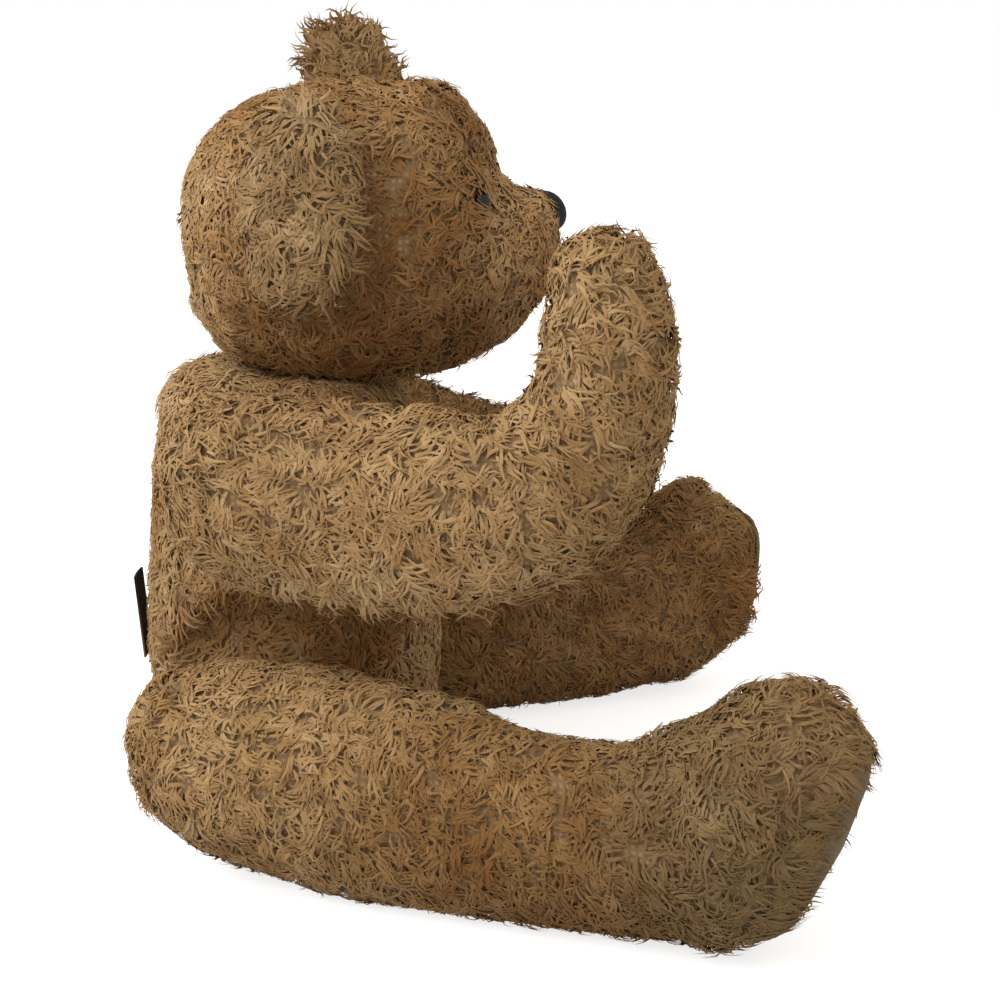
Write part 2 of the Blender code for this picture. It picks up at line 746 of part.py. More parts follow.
def bodyTrims(name, inset):
    made = [floorTrim(name + "_floor", inset), neckTrim(name + "_neck", -1, inset)]
    for word in ("right", "left"):
        made.append(jointTrim(f"{name}_shoulder_{word}", shoulderFrames[word], shoulderProfile(), -1, inset))
        made.append(jointTrim(f"{name}_hip_{word}", hipFrames[word], hipProfile(), -1, inset))
    return made


bodyPockets = [pocket("body_neck_pocket", neckFrame, NECK_DISC, -1)]
for word in ("right", "left"):
    bodyPockets.append(pocket(f"body_shoulder_{word}_pocket", shoulderFrames[word], SHOULDER_DISC, -1))
    bodyPockets.append(pocket(f"body_hip_{word}_pocket", hipFrames[word], HIP_DISC, -1))

bodyMesh = bodyCage()
bodyCover, bodyStuffing = coveredForm("body", bodyMesh, bodyTrims, bores.values(), bodyPockets)

# The tab stands in the back seam, its foot just clear of the cover.
probe = soft("body_probe", bodyMesh, None, 0.0, cutters)
backHit = surface(probe).ray_cast(Vector((-0.3, 0, TAB_HEIGHT)), Vector((1, 0, 0)))[0]
tabMesh = bpy.data.meshes.new("back_tab")
tabForm = bmesh.new()
tabSize = Matrix.Diagonal((TAB_THICKNESS, TAB_WIDTH, TAB_LENGTH, 1.0))
bmesh.ops.create_cube(tabForm, size=1.0, matrix=tabSize)
bmesh.ops.bevel(tabForm, geom=tabForm.edges, offset=TAB_THICKNESS * 0.3, segments=1, affect="EDGES")
tabForm.to_mesh(tabMesh)
tabForm.free()
tabTurn = Matrix.Rotation(math.radians(-TAB_TILT), 4, "Y")
tabMesh.transform(tabTurn @ Matrix.Translation((-TAB_THICKNESS / 2, 0.0, TAB_LENGTH / 2)))
tabMesh.transform(Matrix.Translation(backHit - Vector((GAP * 1.5, 0, 0))))
tab = place(tabMesh, "back_tab", tabCloth)


# Head

headMesh = headCage()
headPivot = pivots["head"]
headProbe = soft("head_probe", headMesh, None, 0.0, cutters)
headSurface = surface(headProbe)
headBed = soft("head_bed", headMesh, None, GAP, cutters)

eyeFrames = {}
eyeBores = []
for word, side in (("right", -1), ("left", 1)):
    seek = Vector((NECK_X + SKULL_LENGTH * 2, side * EYE_SPACING / 2, NECK_HEIGHT + EYE_RISE))
    hit, normal, _, _ = headSurface.ray_cast(seek, Vector((-1, 0, 0)))
    eyeFrames[word] = jointFrame(hit + normal * GAP, normal, up)
    eyeBores.append(bore(f"eye_{word}_bore", eyeFrames[word], EYE_WIRE / 2 + GAP, -EYE_SHANK - GAP * 2, GAP * 4))


def headTrims(name, inset):
    return [neckTrim(name + "_neck", 1, inset)]


headCover, headStuffing = coveredForm(
    "head",
    headMesh,
    headTrims,
    [bores["neck"], *eyeBores],
    [pocket("head_neck_pocket", neckFrame, NECK_DISC, 1), *eyeBores],
    headPivot,
)

for word, frame in eyeFrames.items():
    dome = [(0.0, EYE_DOME)]
    for k in range(1, 5):
        turn = math.pi / 2 * k / 4
        dome.append((EYE_DIAMETER / 2 * math.sin(turn), EYE_DOME * 0.35 + EYE_DOME * 0.65 * math.cos(turn)))
    dome += [(EYE_DIAMETER / 2 * 0.92, 0.0), (EYE_WIRE / 2, 0.0), (EYE_WIRE / 2, -EYE_SHANK), (0.0, -EYE_SHANK)]
    eye = turned(f"eye_{word}", dome, False, frame, glass, 12)
    hang(eye, headPivot)

for word, side, *stand in (
    ("right", -1, RIGHT_EAR_FORE, RIGHT_EAR_UP, RIGHT_EAR_LEAN, RIGHT_EAR_TURN, RIGHT_EAR_ROLL),
    ("left", 1, LEFT_EAR_FORE, LEFT_EAR_UP, LEFT_EAR_LEAN, LEFT_EAR_TURN, LEFT_EAR_ROLL),
):
    ear = soft(f"ear_{word}", earCage(side, *stand, headSurface), mohair, 0.0)
    boolean(ear, headBed)
    hang(ear, headPivot)

# The nose is sewn over the top and front of the muzzle's tip.
noseSeek = Vector((NECK_X + SKULL_LENGTH * 2, 0, NECK_HEIGHT + NOSE_RISE))
noseHit = headSurface.ray_cast(noseSeek, Vector((-1, 0, 0)))[0]
noseMesh = bpy.data.meshes.new("nose")
noseForm = bmesh.new()
bmesh.ops.create_uvsphere(noseForm, u_segments=12, v_segments=8, radius=0.5)
for vert in noseForm.verts:
    taper = 0.75 + 0.5 * vert.co.z
    vert.co = (vert.co.x * NOSE_DEPTH, vert.co.y * NOSE_WIDTH * taper, vert.co.z * NOSE_HEIGHT)
noseForm.to_mesh(noseMesh)
noseForm.free()
noseTurn = Matrix.Rotation(math.radians(-35.0), 4, "Y")
noseMesh.transform(Matrix.Translation(noseHit - Vector((NOSE_SINK, 0, 0))) @ noseTurn)
nose = place(noseMesh, "nose", floss)
boolean(nose, headBed)
hang(nose, headPivot)

# The mouth is three long stitches that meet below the nose.
mouthTop = NECK_HEIGHT + NOSE_RISE - NOSE_HEIGHT / 2
fork = (0.0, mouthTop - MOUTH_DROP)
threadHalf = MOUTH_THREAD / 2
fall = Vector((MOUTH_SPREAD, -MOUTH_FALL)).normalized()
flank = Vector((-fall.y, fall.x)) * threadHalf
corner = [
    (threadHalf, mouthTop - GAP * 3),
    (threadHalf, fork[1] + threadHalf),
    (MOUTH_SPREAD + flank.x, fork[1] - MOUTH_FALL + flank.y),
    (MOUTH_SPREAD - flank.x, fork[1] - MOUTH_FALL - flank.y),
    (0.0, fork[1] - MOUTH_THREAD),
]
outline = corner + [(-y, z) for y, z in reversed(corner[:-1])]
mouthMesh = bpy.data.meshes.new("mouth")
mouthForm = bmesh.new()
mouthFront = NECK_X - SKULL_BACK + SKULL_LENGTH + MUZZLE_LENGTH * 1.4
front = [mouthForm.verts.new((mouthFront, y, z)) for y, z in outline]
face_ = mouthForm.faces.new(front)
extruded = bmesh.ops.extrude_face_region(mouthForm, geom=[face_])
moved = [v for v in extruded["geom"] if isinstance(v, bmesh.types.BMVert)]
bmesh.ops.translate(mouthForm, verts=moved, vec=(-MUZZLE_LENGTH * 1.6, 0, 0))
bmesh.ops.recalc_face_normals(mouthForm, faces=mouthForm.faces)
mouthForm.to_mesh(mouthMesh)
mouthForm.free()
mouth = place(mouthMesh, "mouth", floss, smooth=False)
boolean(mouth, soft("mouth_top", headMesh, None, GAP + MOUTH_THREAD, cutters), "INTERSECT")
boolean(mouth, headBed)
hang(mouth, headPivot)


# Legs

legMeshes = {}
for word, side in (("right", -1), ("left", 1)):
    pivot = pivots["leg_" + word]
    frame = hipFrames[word]
    legMeshes[word] = legCage(side)

    def legTrims(name, inset, frame=frame):
        return [floorTrim(name + "_floor", inset), hipTrim(name + "_hip", frame, inset)]

    coveredForm(
        "leg_" + word,
        legMeshes[word],
        legTrims,
        [bores["hip_" + word]],
        [pocket(f"leg_{word}_pocket", frame, HIP_DISC, 1)],
        pivot,
    )
    hipPoint, forward, outward = legFrame(side)
    tilt = math.radians(SOLE_TILT)
    facing = forward * math.cos(tilt) - up * math.sin(tilt)
    middle = hipPoint + forward * (LEG_LENGTH * 0.975) + outward * (FOOT_WIDTH / 2 - FLAT_SINK)
    middle.z = FOOT_DEPTH * 0.42
    soleFrame = jointFrame(middle, facing, up)
    pad(f"sole_pad_{word}", legMeshes[word], soleFrame, SOLE_PAD_LENGTH, SOLE_PAD_WIDTH, pivot)


# Arms

for word, side, lower in (("right", -1, 0.0), ("left", 1, ARM_LEFT_LOWER)):
    pivot = pivots["arm_" + word]
    frame = shoulderFrames[word]
    armMesh = armCage(side, lower)

    def armTrims(name, inset, frame=frame):
        return [jointTrim(name + "_shoulder", frame, shoulderProfile(), 1, inset)]

    coveredForm(
        "arm_" + word,
        armMesh,
        armTrims,
        [bores["shoulder_" + word]],
        [pocket(f"arm_{word}_pocket", frame, SHOULDER_DISC, 1)],
        pivot,
    )
    swing = Matrix.Rotation(math.radians(lower), 3, "Y")
    flat, heading = armSpine(armLength() - PAW_PAD_DROP)
    middle = Vector((SHOULDER_X, 0, SHOULDER_HEIGHT)) + swing @ flat
    middle.y = side * (SHOULDER_WIDTH / 2 + ARM_LEAN - FLAT_SINK)
    along = swing @ Vector((math.cos(heading), 0, math.sin(heading)))
    padFrame = jointFrame(middle, Vector((0, -side, 0)), along)
    pad(f"paw_pad_{word}", armMesh, padFrame, PAW_PAD_LENGTH, PAW_PAD_WIDTH, pivot)

for guide in (probe, headProbe):
    bpy.data.objects.remove(guide)
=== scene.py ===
import math

import bpy
import numpy as np
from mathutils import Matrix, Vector, noise
from mathutils.bvhtree import BVHTree
from mathutils.kdtree import KDTree


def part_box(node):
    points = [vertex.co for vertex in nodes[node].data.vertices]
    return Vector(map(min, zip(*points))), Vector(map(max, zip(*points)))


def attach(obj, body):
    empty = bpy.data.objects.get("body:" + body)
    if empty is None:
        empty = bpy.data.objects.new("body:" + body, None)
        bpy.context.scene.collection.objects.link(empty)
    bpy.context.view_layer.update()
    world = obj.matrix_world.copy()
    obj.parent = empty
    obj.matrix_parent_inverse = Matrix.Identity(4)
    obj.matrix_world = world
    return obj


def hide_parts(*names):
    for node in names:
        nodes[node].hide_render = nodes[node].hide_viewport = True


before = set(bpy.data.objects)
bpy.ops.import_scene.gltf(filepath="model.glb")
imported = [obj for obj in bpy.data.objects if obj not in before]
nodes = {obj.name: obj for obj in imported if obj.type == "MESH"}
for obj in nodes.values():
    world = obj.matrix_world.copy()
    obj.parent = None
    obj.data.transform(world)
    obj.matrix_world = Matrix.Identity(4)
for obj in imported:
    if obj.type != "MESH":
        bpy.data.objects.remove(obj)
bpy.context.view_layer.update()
rng = np.random.default_rng(417)


# colours are sRGB hex values, turned linear here
def hexColour(text):
    parts = [int(text[k:k + 2], 16) / 255 for k in (1, 3, 5)]
    return (*[p / 12.92 if p <= 0.04045 else ((p + 0.055) / 1.055) ** 2.4 for p in parts], 1.0)


# adds a node: inputs pairs a socket with a value or with the output that feeds it
def addNode(tree, kind, inputs=(), stops=(), **settings):
    node = tree.nodes.new(kind)
    for key, value in settings.items():
        setattr(node, key, value)
    for key, value in inputs:
        if isinstance(value, bpy.types.NodeSocket):
            tree.links.new(value, node.inputs[key])
        else:
            node.inputs[key].default_value = value
    while stops and len(stops) > len(node.color_ramp.elements):
        node.color_ramp.elements.new(0.5)
    for k, (place, colour) in enumerate(stops):
        node.color_ramp.elements[k].position = place
        node.color_ramp.elements[k].color = hexColour(colour)
    return node


def addMath(tree, operation, *values):
    return addNode(tree, "ShaderNodeMath", list(enumerate(values)), operation=operation).outputs[0]


def addRange(tree, value, fromLow, fromHigh, toLow, toHigh):
    sockets = enumerate((value, fromLow, fromHigh, toLow, toHigh))
    return addNode(tree, "ShaderNodeMapRange", list(sockets)).outputs[0]


def addRamp(tree, value, stops):
    return addNode(tree, "ShaderNodeValToRGB", [(0, value)], stops=stops).outputs[0]


def mixValues(tree, share, first, second):
    return addNode(tree, "ShaderNodeMix", [(0, share), (2, first), (3, second)]).outputs[0]


def mixVectors(tree, share, first, second):
    return addNode(tree, "ShaderNodeMix", [(0, share), (4, first), (5, second)], data_type="VECTOR").outputs[1]


def mixColours(tree, share, first, second, blend="MIX"):
    return addNode(tree, "ShaderNodeMix", [(0, share), (6, first), (7, second)], data_type="RGBA",
                   blend_type=blend).outputs[2]


def objectSpace(tree):
    return addNode(tree, "ShaderNodeTexCoord").outputs["Object"]


# noise whose grains are about 1000 / scale mm wide
def addNoise(tree, place, scale, detail, roughness=0.5):
    return addNode(tree, "ShaderNodeTexNoise", [("Vector", place), ("Scale", scale), ("Detail", detail),
                                                ("Roughness", roughness)]).outputs["Fac"]


# light and dark bands, one of each in 314 / scale mm
def addBands(tree, place, scale, direction, distortion=0.0, detail=2.0):
    return addNode(tree, "ShaderNodeTexWave", [("Vector", place), ("Scale", scale), ("Distortion", distortion),
                                               ("Detail", detail)], bands_direction=direction).outputs["Fac"]


# warp bands and weft bands, crossed
def addWeave(tree, place, scale, across, distortion=0.0):
    warp = addBands(tree, place, scale, across, distortion)
    weft = addBands(tree, place, scale, "Z", distortion)
    return addMath(tree, "MULTIPLY", warp, weft)


# gives a shader its colour, and a bump of some strength and depth from a height
def feedShader(tree, shader, colour, height, strength, depth, *more):
    bump = addNode(tree, "ShaderNodeBump", [("Strength", strength), ("Distance", depth), ("Height", height), *more])
    tree.links.new(colour, shader.inputs["Base Color"])
    tree.links.new(bump.outputs[0], shader.inputs["Normal"])


def newMaterial(name, **sockets):
    made = bpy.data.materials.new(name)
    made.use_nodes = True
    shader = made.node_tree.nodes["Principled BSDF"]
    for key, value in sockets.items():
        shader.inputs[key.replace("_", " ")].default_value = value
    return made, made.node_tree, shader


def onlySelect(*objects):
    bpy.ops.object.select_all(action="DESELECT")
    for obj in objects:
        obj.select_set(True)
    bpy.context.view_layer.objects.active = objects[0]


def applyAll(obj):
    onlySelect(obj)
    for modifier in list(obj.modifiers):
        bpy.ops.object.modifier_apply(modifier=modifier.name)


# a merged copy of a CAD node, as a new object
def copyOf(name, cadName):
    obj = bpy.data.objects.new(name, nodes[cadName].data.copy())
    bpy.context.scene.collection.objects.link(obj)
    onlySelect(obj)
    obj.data.materials.clear()
    bpy.ops.object.mode_set(mode="EDIT")
    bpy.ops.mesh.select_all(action="SELECT")
    bpy.ops.mesh.remove_doubles(threshold=0.00001)
    bpy.ops.object.mode_set(mode="OBJECT")
    return obj


# one closed skin of even faces in place of a solid's own
def reskin(obj, voxel, rounds):
    grid = obj.modifiers.new("voxels", "REMESH")
    grid.mode = "VOXEL"
    grid.voxel_size = voxel
    relax = obj.modifiers.new("relax", "SMOOTH")
    relax.factor = 0.5
    relax.iterations = rounds
    applyAll(obj)


def pointsOf(mesh):
    flat = np.empty(len(mesh.vertices) * 3, np.float32)
    mesh.vertices.foreach_get("co", flat)
    return flat.reshape(-1, 3).astype(float)


def treeOf(*names):
    verts, faces = [], []
    for name in names:
        mesh = nodes[name].data
        start = len(verts)
        verts += [v.co.copy() for v in mesh.vertices]
        faces += [tuple(start + i for i in f.vertices) for f in mesh.polygons]
    return BVHTree.FromPolygons(verts, faces)


def gapsTo(tree, points):
    return np.array([tree.find_nearest(Vector(p))[3] for p in points])


def smoothStep(value):
    value = np.clip(value, 0, 1)
    return value * value * (3 - 2 * value)


print("frame loaded")


# Mohair: goat hair woven into a cloth back, its pile curled and matted into small locks.
# Each lock is a bundle of fine hairs: mostly matt, with a soft silky light along its bends.
pileLook = {
    "golden": ((0.0, "#957850"), (0.35, "#a68961"), (0.7, "#b69a73"), (1.0, "#c8af88")),
    "greyed": ((0.0, "#6c5d44"), (0.5, "#918367"), (1.0, "#ab9e82")),
    "rusty": ((0.0, "#7a5530"), (0.5, "#946d43"), (1.0, "#b48f64")),
    "depth": ((0.0, "#ffffff"), (0.45, "#f2ebe0"), (1.0, "#ddd3c2")),     # a tint from a lock's root to its tip: painted light, the roots lighter to stand in for light scattered down into the pile
    "hairs": (6.5, 6.5, 1.1),     # hairs seen across one lock, coarser than real ones, and their breaks along it
    "contrast": 1.9,              # how far the hairs of one lock differ in tone
    "softness": 0.82,             # how far the shading at a lock's root leans to the cloth's
    "tipLoss": 0.3,               # how much of that is lost at its tip
}


def mohairPile():
    made, tree, shader = newMaterial("mohair_pile", Roughness=0.8, Specular_IOR_Level=0.15)
    look = addNode(tree, "ShaderNodeAttribute", attribute_name="pileLook").outputs["Vector"]
    space = addNode(tree, "ShaderNodeAttribute", attribute_name="lockSpace").outputs["Vector"]
    ownTone, grey, rust = addNode(tree, "ShaderNodeSeparateXYZ", [(0, look)]).outputs
    along = addNode(tree, "ShaderNodeSeparateXYZ", [(0, space)]).outputs[2]
    stretched = addNode(tree, "ShaderNodeMapping", [(0, space), ("Scale", pileLook["hairs"])]).outputs[0]
    hairs = addNoise(tree, stretched, 1.0, 2.0, 0.6)
    uneven = addMath(tree, "MULTIPLY_ADD", hairs, pileLook["contrast"], -pileLook["contrast"] / 2)
    tone = addMath(tree, "ADD", ownTone, uneven)
    warm = mixColours(tree, rust, addRamp(tree, tone, pileLook["golden"]), addRamp(tree, tone, pileLook["rusty"]))
    worn = mixColours(tree, grey, warm, addRamp(tree, tone, pileLook["greyed"]))
    # the root-to-tip tint is painted light: roots painted lighter than tips, to lift the shade deep in the pile
    colour = mixColours(tree, 1.0, worn, addRamp(tree, along, pileLook["depth"]), "MULTIPLY")
    # where the softened normal has turned behind a hair's own face, the face's normal is used
    shape = addNode(tree, "ShaderNodeNewGeometry").outputs
    turned = addNode(tree, "ShaderNodeVectorMath", [(0, shape["Normal"]), (1, shape["True Normal"])],
                     operation="DOT_PRODUCT").outputs["Value"]
    hidden = addRange(tree, turned, 0.0, 0.35, 1.0, 0.0)
    facing = mixVectors(tree, hidden, shape["Normal"], shape["True Normal"])
    feedShader(tree, shader, colour, hairs, 0.2, 0.0003, ("Normal", facing))
    return made


# Cotton back of the mohair cloth, seen only where the pile is thin: a plain weave of 2 mm, coarser
# than the real one
def wovenBacking():
    made, tree, shader = newMaterial("woven_backing", Roughness=0.9, Specular_IOR_Level=0.2)
    place = objectSpace(tree)
    weave = addWeave(tree, place, 160.0, "X", 1.5)
    mixed = addMath(tree, "MULTIPLY", weave, addNoise(tree, place, 180.0, 3.0))
    colour = addRamp(tree, mixed, ((0.0, "#7d6447"), (0.25, "#8e7554"), (0.7, "#a0876a")))
    feedShader(tree, shader, colour, weave, 0.4, 0.0003)
    return made


pile = mohairPile()
backing = wovenBacking()


# Locks: a few flat wisps of hair, modelled straight along X with a low ridge on top, then bent along
# a path. Each path is (forward, sideways, up) in mm from the root, and each kind has its mirror image.
lockShapes = {
    "rings": (0.8, 1.0, 0.82, 0.45),     # share of the width at each ring, from the root
    "bent": 0.96,                        # length along a bent path, against the straight lines of its points
    "kinds": {
        # width and thickness in mm, share of all locks, path
        "hook": (1.14, 0.36, 0.38, ((0, 0, -0.6), (0.6, 0.1, 1.3), (2.6, 0.3, 2.5), (5.0, 1.0, 2.5),
                                    (6.6, 2.8, 1.9), (6.8, 4.9, 1.1))),
        "wave": (1.04, 0.34, 0.27, ((0, 0, -0.6), (0.7, -0.4, 1.4), (2.8, -1.1, 2.6), (5.2, 0.2, 2.6),
                                    (7.2, 1.4, 2.0), (9.3, 0.6, 1.0))),
        "curl": (1.04, 0.36, 0.28, ((0, 0, -0.6), (0.8, 0.0, 1.6), (3.0, 0.4, 2.7), (4.6, 2.2, 2.7),
                                    (3.2, 4.2, 2.2), (0.9, 3.9, 1.4))),
        "stray": (0.42, 0.30, 0.07, ((0, 0, -0.6), (0.9, 0.3, 2.0), (2.4, 1.0, 3.6), (4.6, 1.3, 3.9),
                                     (6.6, 0.6, 3.8), (8.0, -0.8, 3.2))),
    },
}


def makeLock(width, thick, path, hand):
    mm = 0.001
    curve = bpy.data.curves.new("lockPath", "CURVE")
    curve.dimensions = "3D"
    curve.twist_mode = "Z_UP"
    line = curve.splines.new("NURBS")
    line.points.add(len(path) - 1)
    line.use_endpoint_u = True
    for point, (x, y, z) in zip(line.points, path):
        point.co = (x * mm, y * hand * mm, z * mm, 1)
    guide = bpy.data.objects.new("lockPath", curve)
    bpy.context.scene.collection.objects.link(guide)
    length = sum((Vector(a) - Vector(b)).length for a, b in zip(path, path[1:])) * lockShapes["bent"] * mm
    rings = lockShapes["rings"]
    step = length / len(rings)
    # the lock starts as a three-sided ring, 0.866 wide and 0.75 high
    bpy.ops.object.select_all(action="DESELECT")
    bpy.ops.mesh.primitive_circle_add(vertices=3, radius=0.5, fill_type="NGON",
                                      rotation=(math.pi / 2, 0, math.pi / 2))
    obj = bpy.context.object
    bpy.ops.object.transform_apply(location=False, rotation=True, scale=False)
    bpy.ops.object.mode_set(mode="EDIT")
    bpy.ops.mesh.select_all(action="SELECT")
    bpy.ops.transform.resize(value=(1, width * mm / 0.866 * rings[0], thick * mm / 0.75 * rings[0]),
                             center_override=(0, 0, 0))
    for k in range(1, len(rings)):
        share = rings[k] / rings[k - 1]
        bpy.ops.mesh.extrude_region_move(TRANSFORM_OT_translate={"value": (step, 0, 0)})
        bpy.ops.transform.resize(value=(1, share, share), center_override=(step * k, 0, 0))
    bpy.ops.mesh.extrude_region_move(TRANSFORM_OT_translate={"value": (step, 0, 0)})
    bpy.ops.mesh.merge(type="CENTER")
    bpy.ops.mesh.select_all(action="SELECT")
    bpy.ops.mesh.normals_make_consistent(inside=False)
    bpy.ops.object.mode_set(mode="OBJECT")
    straight = pointsOf(obj.data)
    follow = obj.modifiers.new("follow", "CURVE")
    follow.object = guide
    follow.deform_axis = "POS_X"
    applyAll(obj)
    points = pointsOf(obj.data)
    faces = [tuple(f.vertices) for f in obj.data.polygons]
    rest = np.stack([straight[:, 1] / (width * mm), straight[:, 2] / (thick * mm), straight[:, 0] / length], axis=1)
    bpy.data.objects.remove(obj)
    bpy.data.objects.remove(guide)
    return {"points": points, "faces": faces, "rest": rest}


locks, lockShares = [], []
for width, thick, share, path in lockShapes["kinds"].values():
    for hand in (1, -1):
        locks.append(makeLock(width, thick, path, hand))
        lockShares.append(share / 2)
print("locks modelled:", len(locks), "with", len(locks[0]["faces"]), "faces each")


# Cloth: each cover is remeshed from its solid and drawn in by the pile's depth, except where it is
# pressed against another part or the floor
clothLook = {
    "voxel": 0.0026, "rounds": 4,
    "pileDepth": 0.0018,                       # how far the cloth lies under the solid's surface
    "fade": 0.0100, "seatFade": 0.0120,        # how far from a joint and from the floor that is reached
    "sewnGap": 0.0008, "sewnFade": 0.0070,     # and from what is sewn on
    "least": 0.10,                             # the share of it that is kept at the floor
    "ease": (0.4, 2),                          # the last smoothing and its rounds
}


def clothOf(name, cadName, part, depth, voxel):
    obj = copyOf(name, cadName)
    reskin(obj, voxel, clothLook["rounds"])
    points = pointsOf(obj.data)
    weight = np.ones(len(points))
    if part["around"]:
        weight = smoothStep(gapsTo(part["around"], points) / clothLook["fade"])
    for sewn in part.get("sewn", ()):
        weight *= smoothStep((gapsTo(sewn["tree"], points) - clothLook["sewnGap"]) / clothLook["sewnFade"])
    weight *= np.maximum(smoothStep(points[:, 2] / clothLook["seatFade"]), clothLook["least"])
    pushed = -depth * weight
    for patch in part.get("patches", ()):
        pushed += patch.get("swell", 0) * inPatch(points, patch)
    # vertex weights run from 0 to 1, so one push is weighted up and the next takes half of it back
    most = float(np.abs(pushed).max())
    group = obj.vertex_groups.new(name="pushed")
    for k, share in enumerate(pushed / most * 0.5 + 0.5):
        group.add([k], float(share), "REPLACE")
    for strength in (2 * most, -most):
        push = obj.modifiers.new("push", "DISPLACE")
        push.mid_level = 0.0
        push.strength = strength
        if strength > 0:
            push.vertex_group = "pushed"
    ease = obj.modifiers.new("ease", "SMOOTH")
    ease.factor, ease.iterations = clothLook["ease"]
    applyAll(obj)
    obj.vertex_groups.clear()
    bpy.ops.object.shade_smooth()
    return obj


# Points spread evenly over a mesh, with their normals
def scatter(mesh, perSquareMm):
    mesh.calc_loop_triangles()
    corners = np.empty(len(mesh.loop_triangles) * 3, np.int32)
    mesh.loop_triangles.foreach_get("vertices", corners)
    corners = corners.reshape(-1, 3)
    points = pointsOf(mesh)
    normals = np.empty(len(mesh.vertices) * 3, np.float32)
    mesh.vertices.foreach_get("normal", normals)
    normals = normals.reshape(-1, 3).astype(float)
    a, b, c = (points[corners[:, k]] for k in range(3))
    total = np.cumsum(np.linalg.norm(np.cross(b - a, c - a), axis=1) / 2)
    count = int(total[-1] * 1e6 * perSquareMm)
    face = np.searchsorted(total, (np.arange(count) + rng.random(count)) / count * total[-1])
    face = np.minimum(face, len(corners) - 1)
    u, v = rng.random((2, count))
    over = u + v > 1
    u[over], v[over] = 1 - u[over], 1 - v[over]
    shares = np.stack([1 - u - v, u, v], axis=1)[:, :, None]
    place = (points[corners[face]] * shares).sum(axis=1)
    normal = (normals[corners[face]] * shares).sum(axis=1)
    normal /= np.linalg.norm(normal, axis=1)[:, None]
    return place, normal


def unit(vectors):
    return vectors / np.maximum(np.linalg.norm(vectors, axis=1), 1e-9)[:, None]


# how strongly each point lies in a soft round patch
def inPatch(points, patch):
    reach = np.linalg.norm((points - patch["at"]) / patch["radius"], axis=1)
    return smoothStep((1 - reach) / patch.get("edge", 0.5))


# How the locks stand and vary. A part or a patch of it gives its own where it differs.
pileGrowth = {
    "rise": 0.68, "reach": 1.0, "tone": 0.5, "grey": 0.0, "rust": 0.0,
    "rimDensity": 0.9, "rimFilled": 0.8,                # extra locks at a rim, over this share of its width
    "facingEdge": 1.6,                                  # how sharply a patch ends where the cloth turns away
    "bare": 0.0017,                                     # no locks nearer than this to the next part
    "pressFrom": 0.001, "pressFade": 0.009,             # the next part presses the pile over these gaps
    "pressedRise": 0.35, "pressedReach": 0.6,
    "sewnNear": 0.0220, "sewnFade": 0.006,              # how far what is sewn on is felt, and shortens locks
    "tufts": 0.055,                                     # tufts in a square mm
    "tuftTone": 0.08, "tuftRust": (0.12, 0.12),         # their own tone, and their rust's middle and spread
    "mottleTone": 0.30, "mottleRust": 0.55,             # the slow change of both over the cloth
    "mottleScales": (70, 45), "mottleStart": (7, 3, 5),
    "tuftRise": (0.84, 1.16), "tuftLean": 0.75,
    "oneKind": 0.70,                                    # the share of a tuft's locks that are of its kind
    "napLean": 0.75, "ownLean": 0.24,                   # what the nap and chance add to the way a lock leans
    "ownRise": (0.82, 1.14), "ownReach": (0.70, 1.22), "ownTone": 0.07, "ownWidth": (0.55, 1.35),
    "gather": 0.26, "gatherBend": 1.3,                  # how far a lock's tip is drawn to its tuft's middle
    "hairRoom": 40,                                     # how far apart the locks lie in the hairs' noise
    "floorRoom": 0.0030,                                # locks flatten within this height of the floor
}


# where the locks root, with more of them round a rim
def rootsOf(cloth, part):
    place, normal = scatter(cloth.data, part["density"])
    for sewn in part.get("sewn", ()):
        if "rim" in sewn:
            more, moreNormal = scatter(cloth.data, part["density"] * pileGrowth["rimDensity"])
            near = gapsTo(sewn["tree"], more) < sewn["rimWidth"] * pileGrowth["rimFilled"]
            place, normal = np.concatenate([place, more[near]]), np.concatenate([normal, moreNormal[near]])
    return place, normal


# what each lock is like from where it stands: in a patch, by a joint, or by something sewn on
def standing(place, normal, part):
    count = len(place)
    own = {key: np.full(count, part.get(key, pileGrowth[key])) for key in ("rise", "reach", "tone", "grey", "rust")}
    keep = np.ones(count, bool)
    for patch in part.get("patches", ()):
        share = inPatch(place, patch)
        if "facing" in patch:
            share = share * smoothStep(normal @ np.array(patch["facing"]) * pileGrowth["facingEdge"])
        own["rise"] *= 1 + (patch.get("rise", 1) - 1) * share
        own["reach"] *= 1 + (patch.get("reach", 1) - 1) * share
        own["tone"] += patch.get("tone", 0) * share
        own["grey"] += (patch.get("grey", own["grey"]) - own["grey"]) * share
        own["rust"] += (patch.get("rust", own["rust"]) - own["rust"]) * share
    # the pile is pressed short where two parts meet, and left out inside the joint
    if part["around"]:
        gap = gapsTo(part["around"], place)
        keep &= gap > pileGrowth["bare"]
        press = smoothStep((gap - pileGrowth["pressFrom"]) / pileGrowth["pressFade"])
        own["rise"] *= pileGrowth["pressedRise"] + (1 - pileGrowth["pressedRise"]) * press
        own["reach"] *= pileGrowth["pressedReach"] + (1 - pileGrowth["pressedReach"]) * press
    # it is left out under what is sewn on, is shorter round it, and leans over its rim
    rimLean = np.zeros((count, 3))
    for sewn in part.get("sewn", ()):
        tree, clear, short = sewn["tree"], sewn["clear"], sewn["short"]
        for k in range(count):
            here = Vector(place[k])
            near = tree.find_nearest(here)[3]
            if near > pileGrowth["sewnNear"]:
                continue
            if near < clear or tree.ray_cast(here, Vector(normal[k]), sewn["over"])[0] is not None:
                keep[k] = False
            share = min(max((near - clear) / pileGrowth["sewnFade"], 0), 1)
            own["rise"][k] *= short + (1 - short) * share
            own["reach"][k] *= (1 + short) / 2 + (1 - short) / 2 * share
            if "rim" in sewn:
                close = 1 - min(near / sewn["rimWidth"], 1)
                rimLean[k] = np.array(sewn["rim"]) * close
                own["reach"][k] *= 1 + sewn["far"] * close
    return own, keep, rimLean


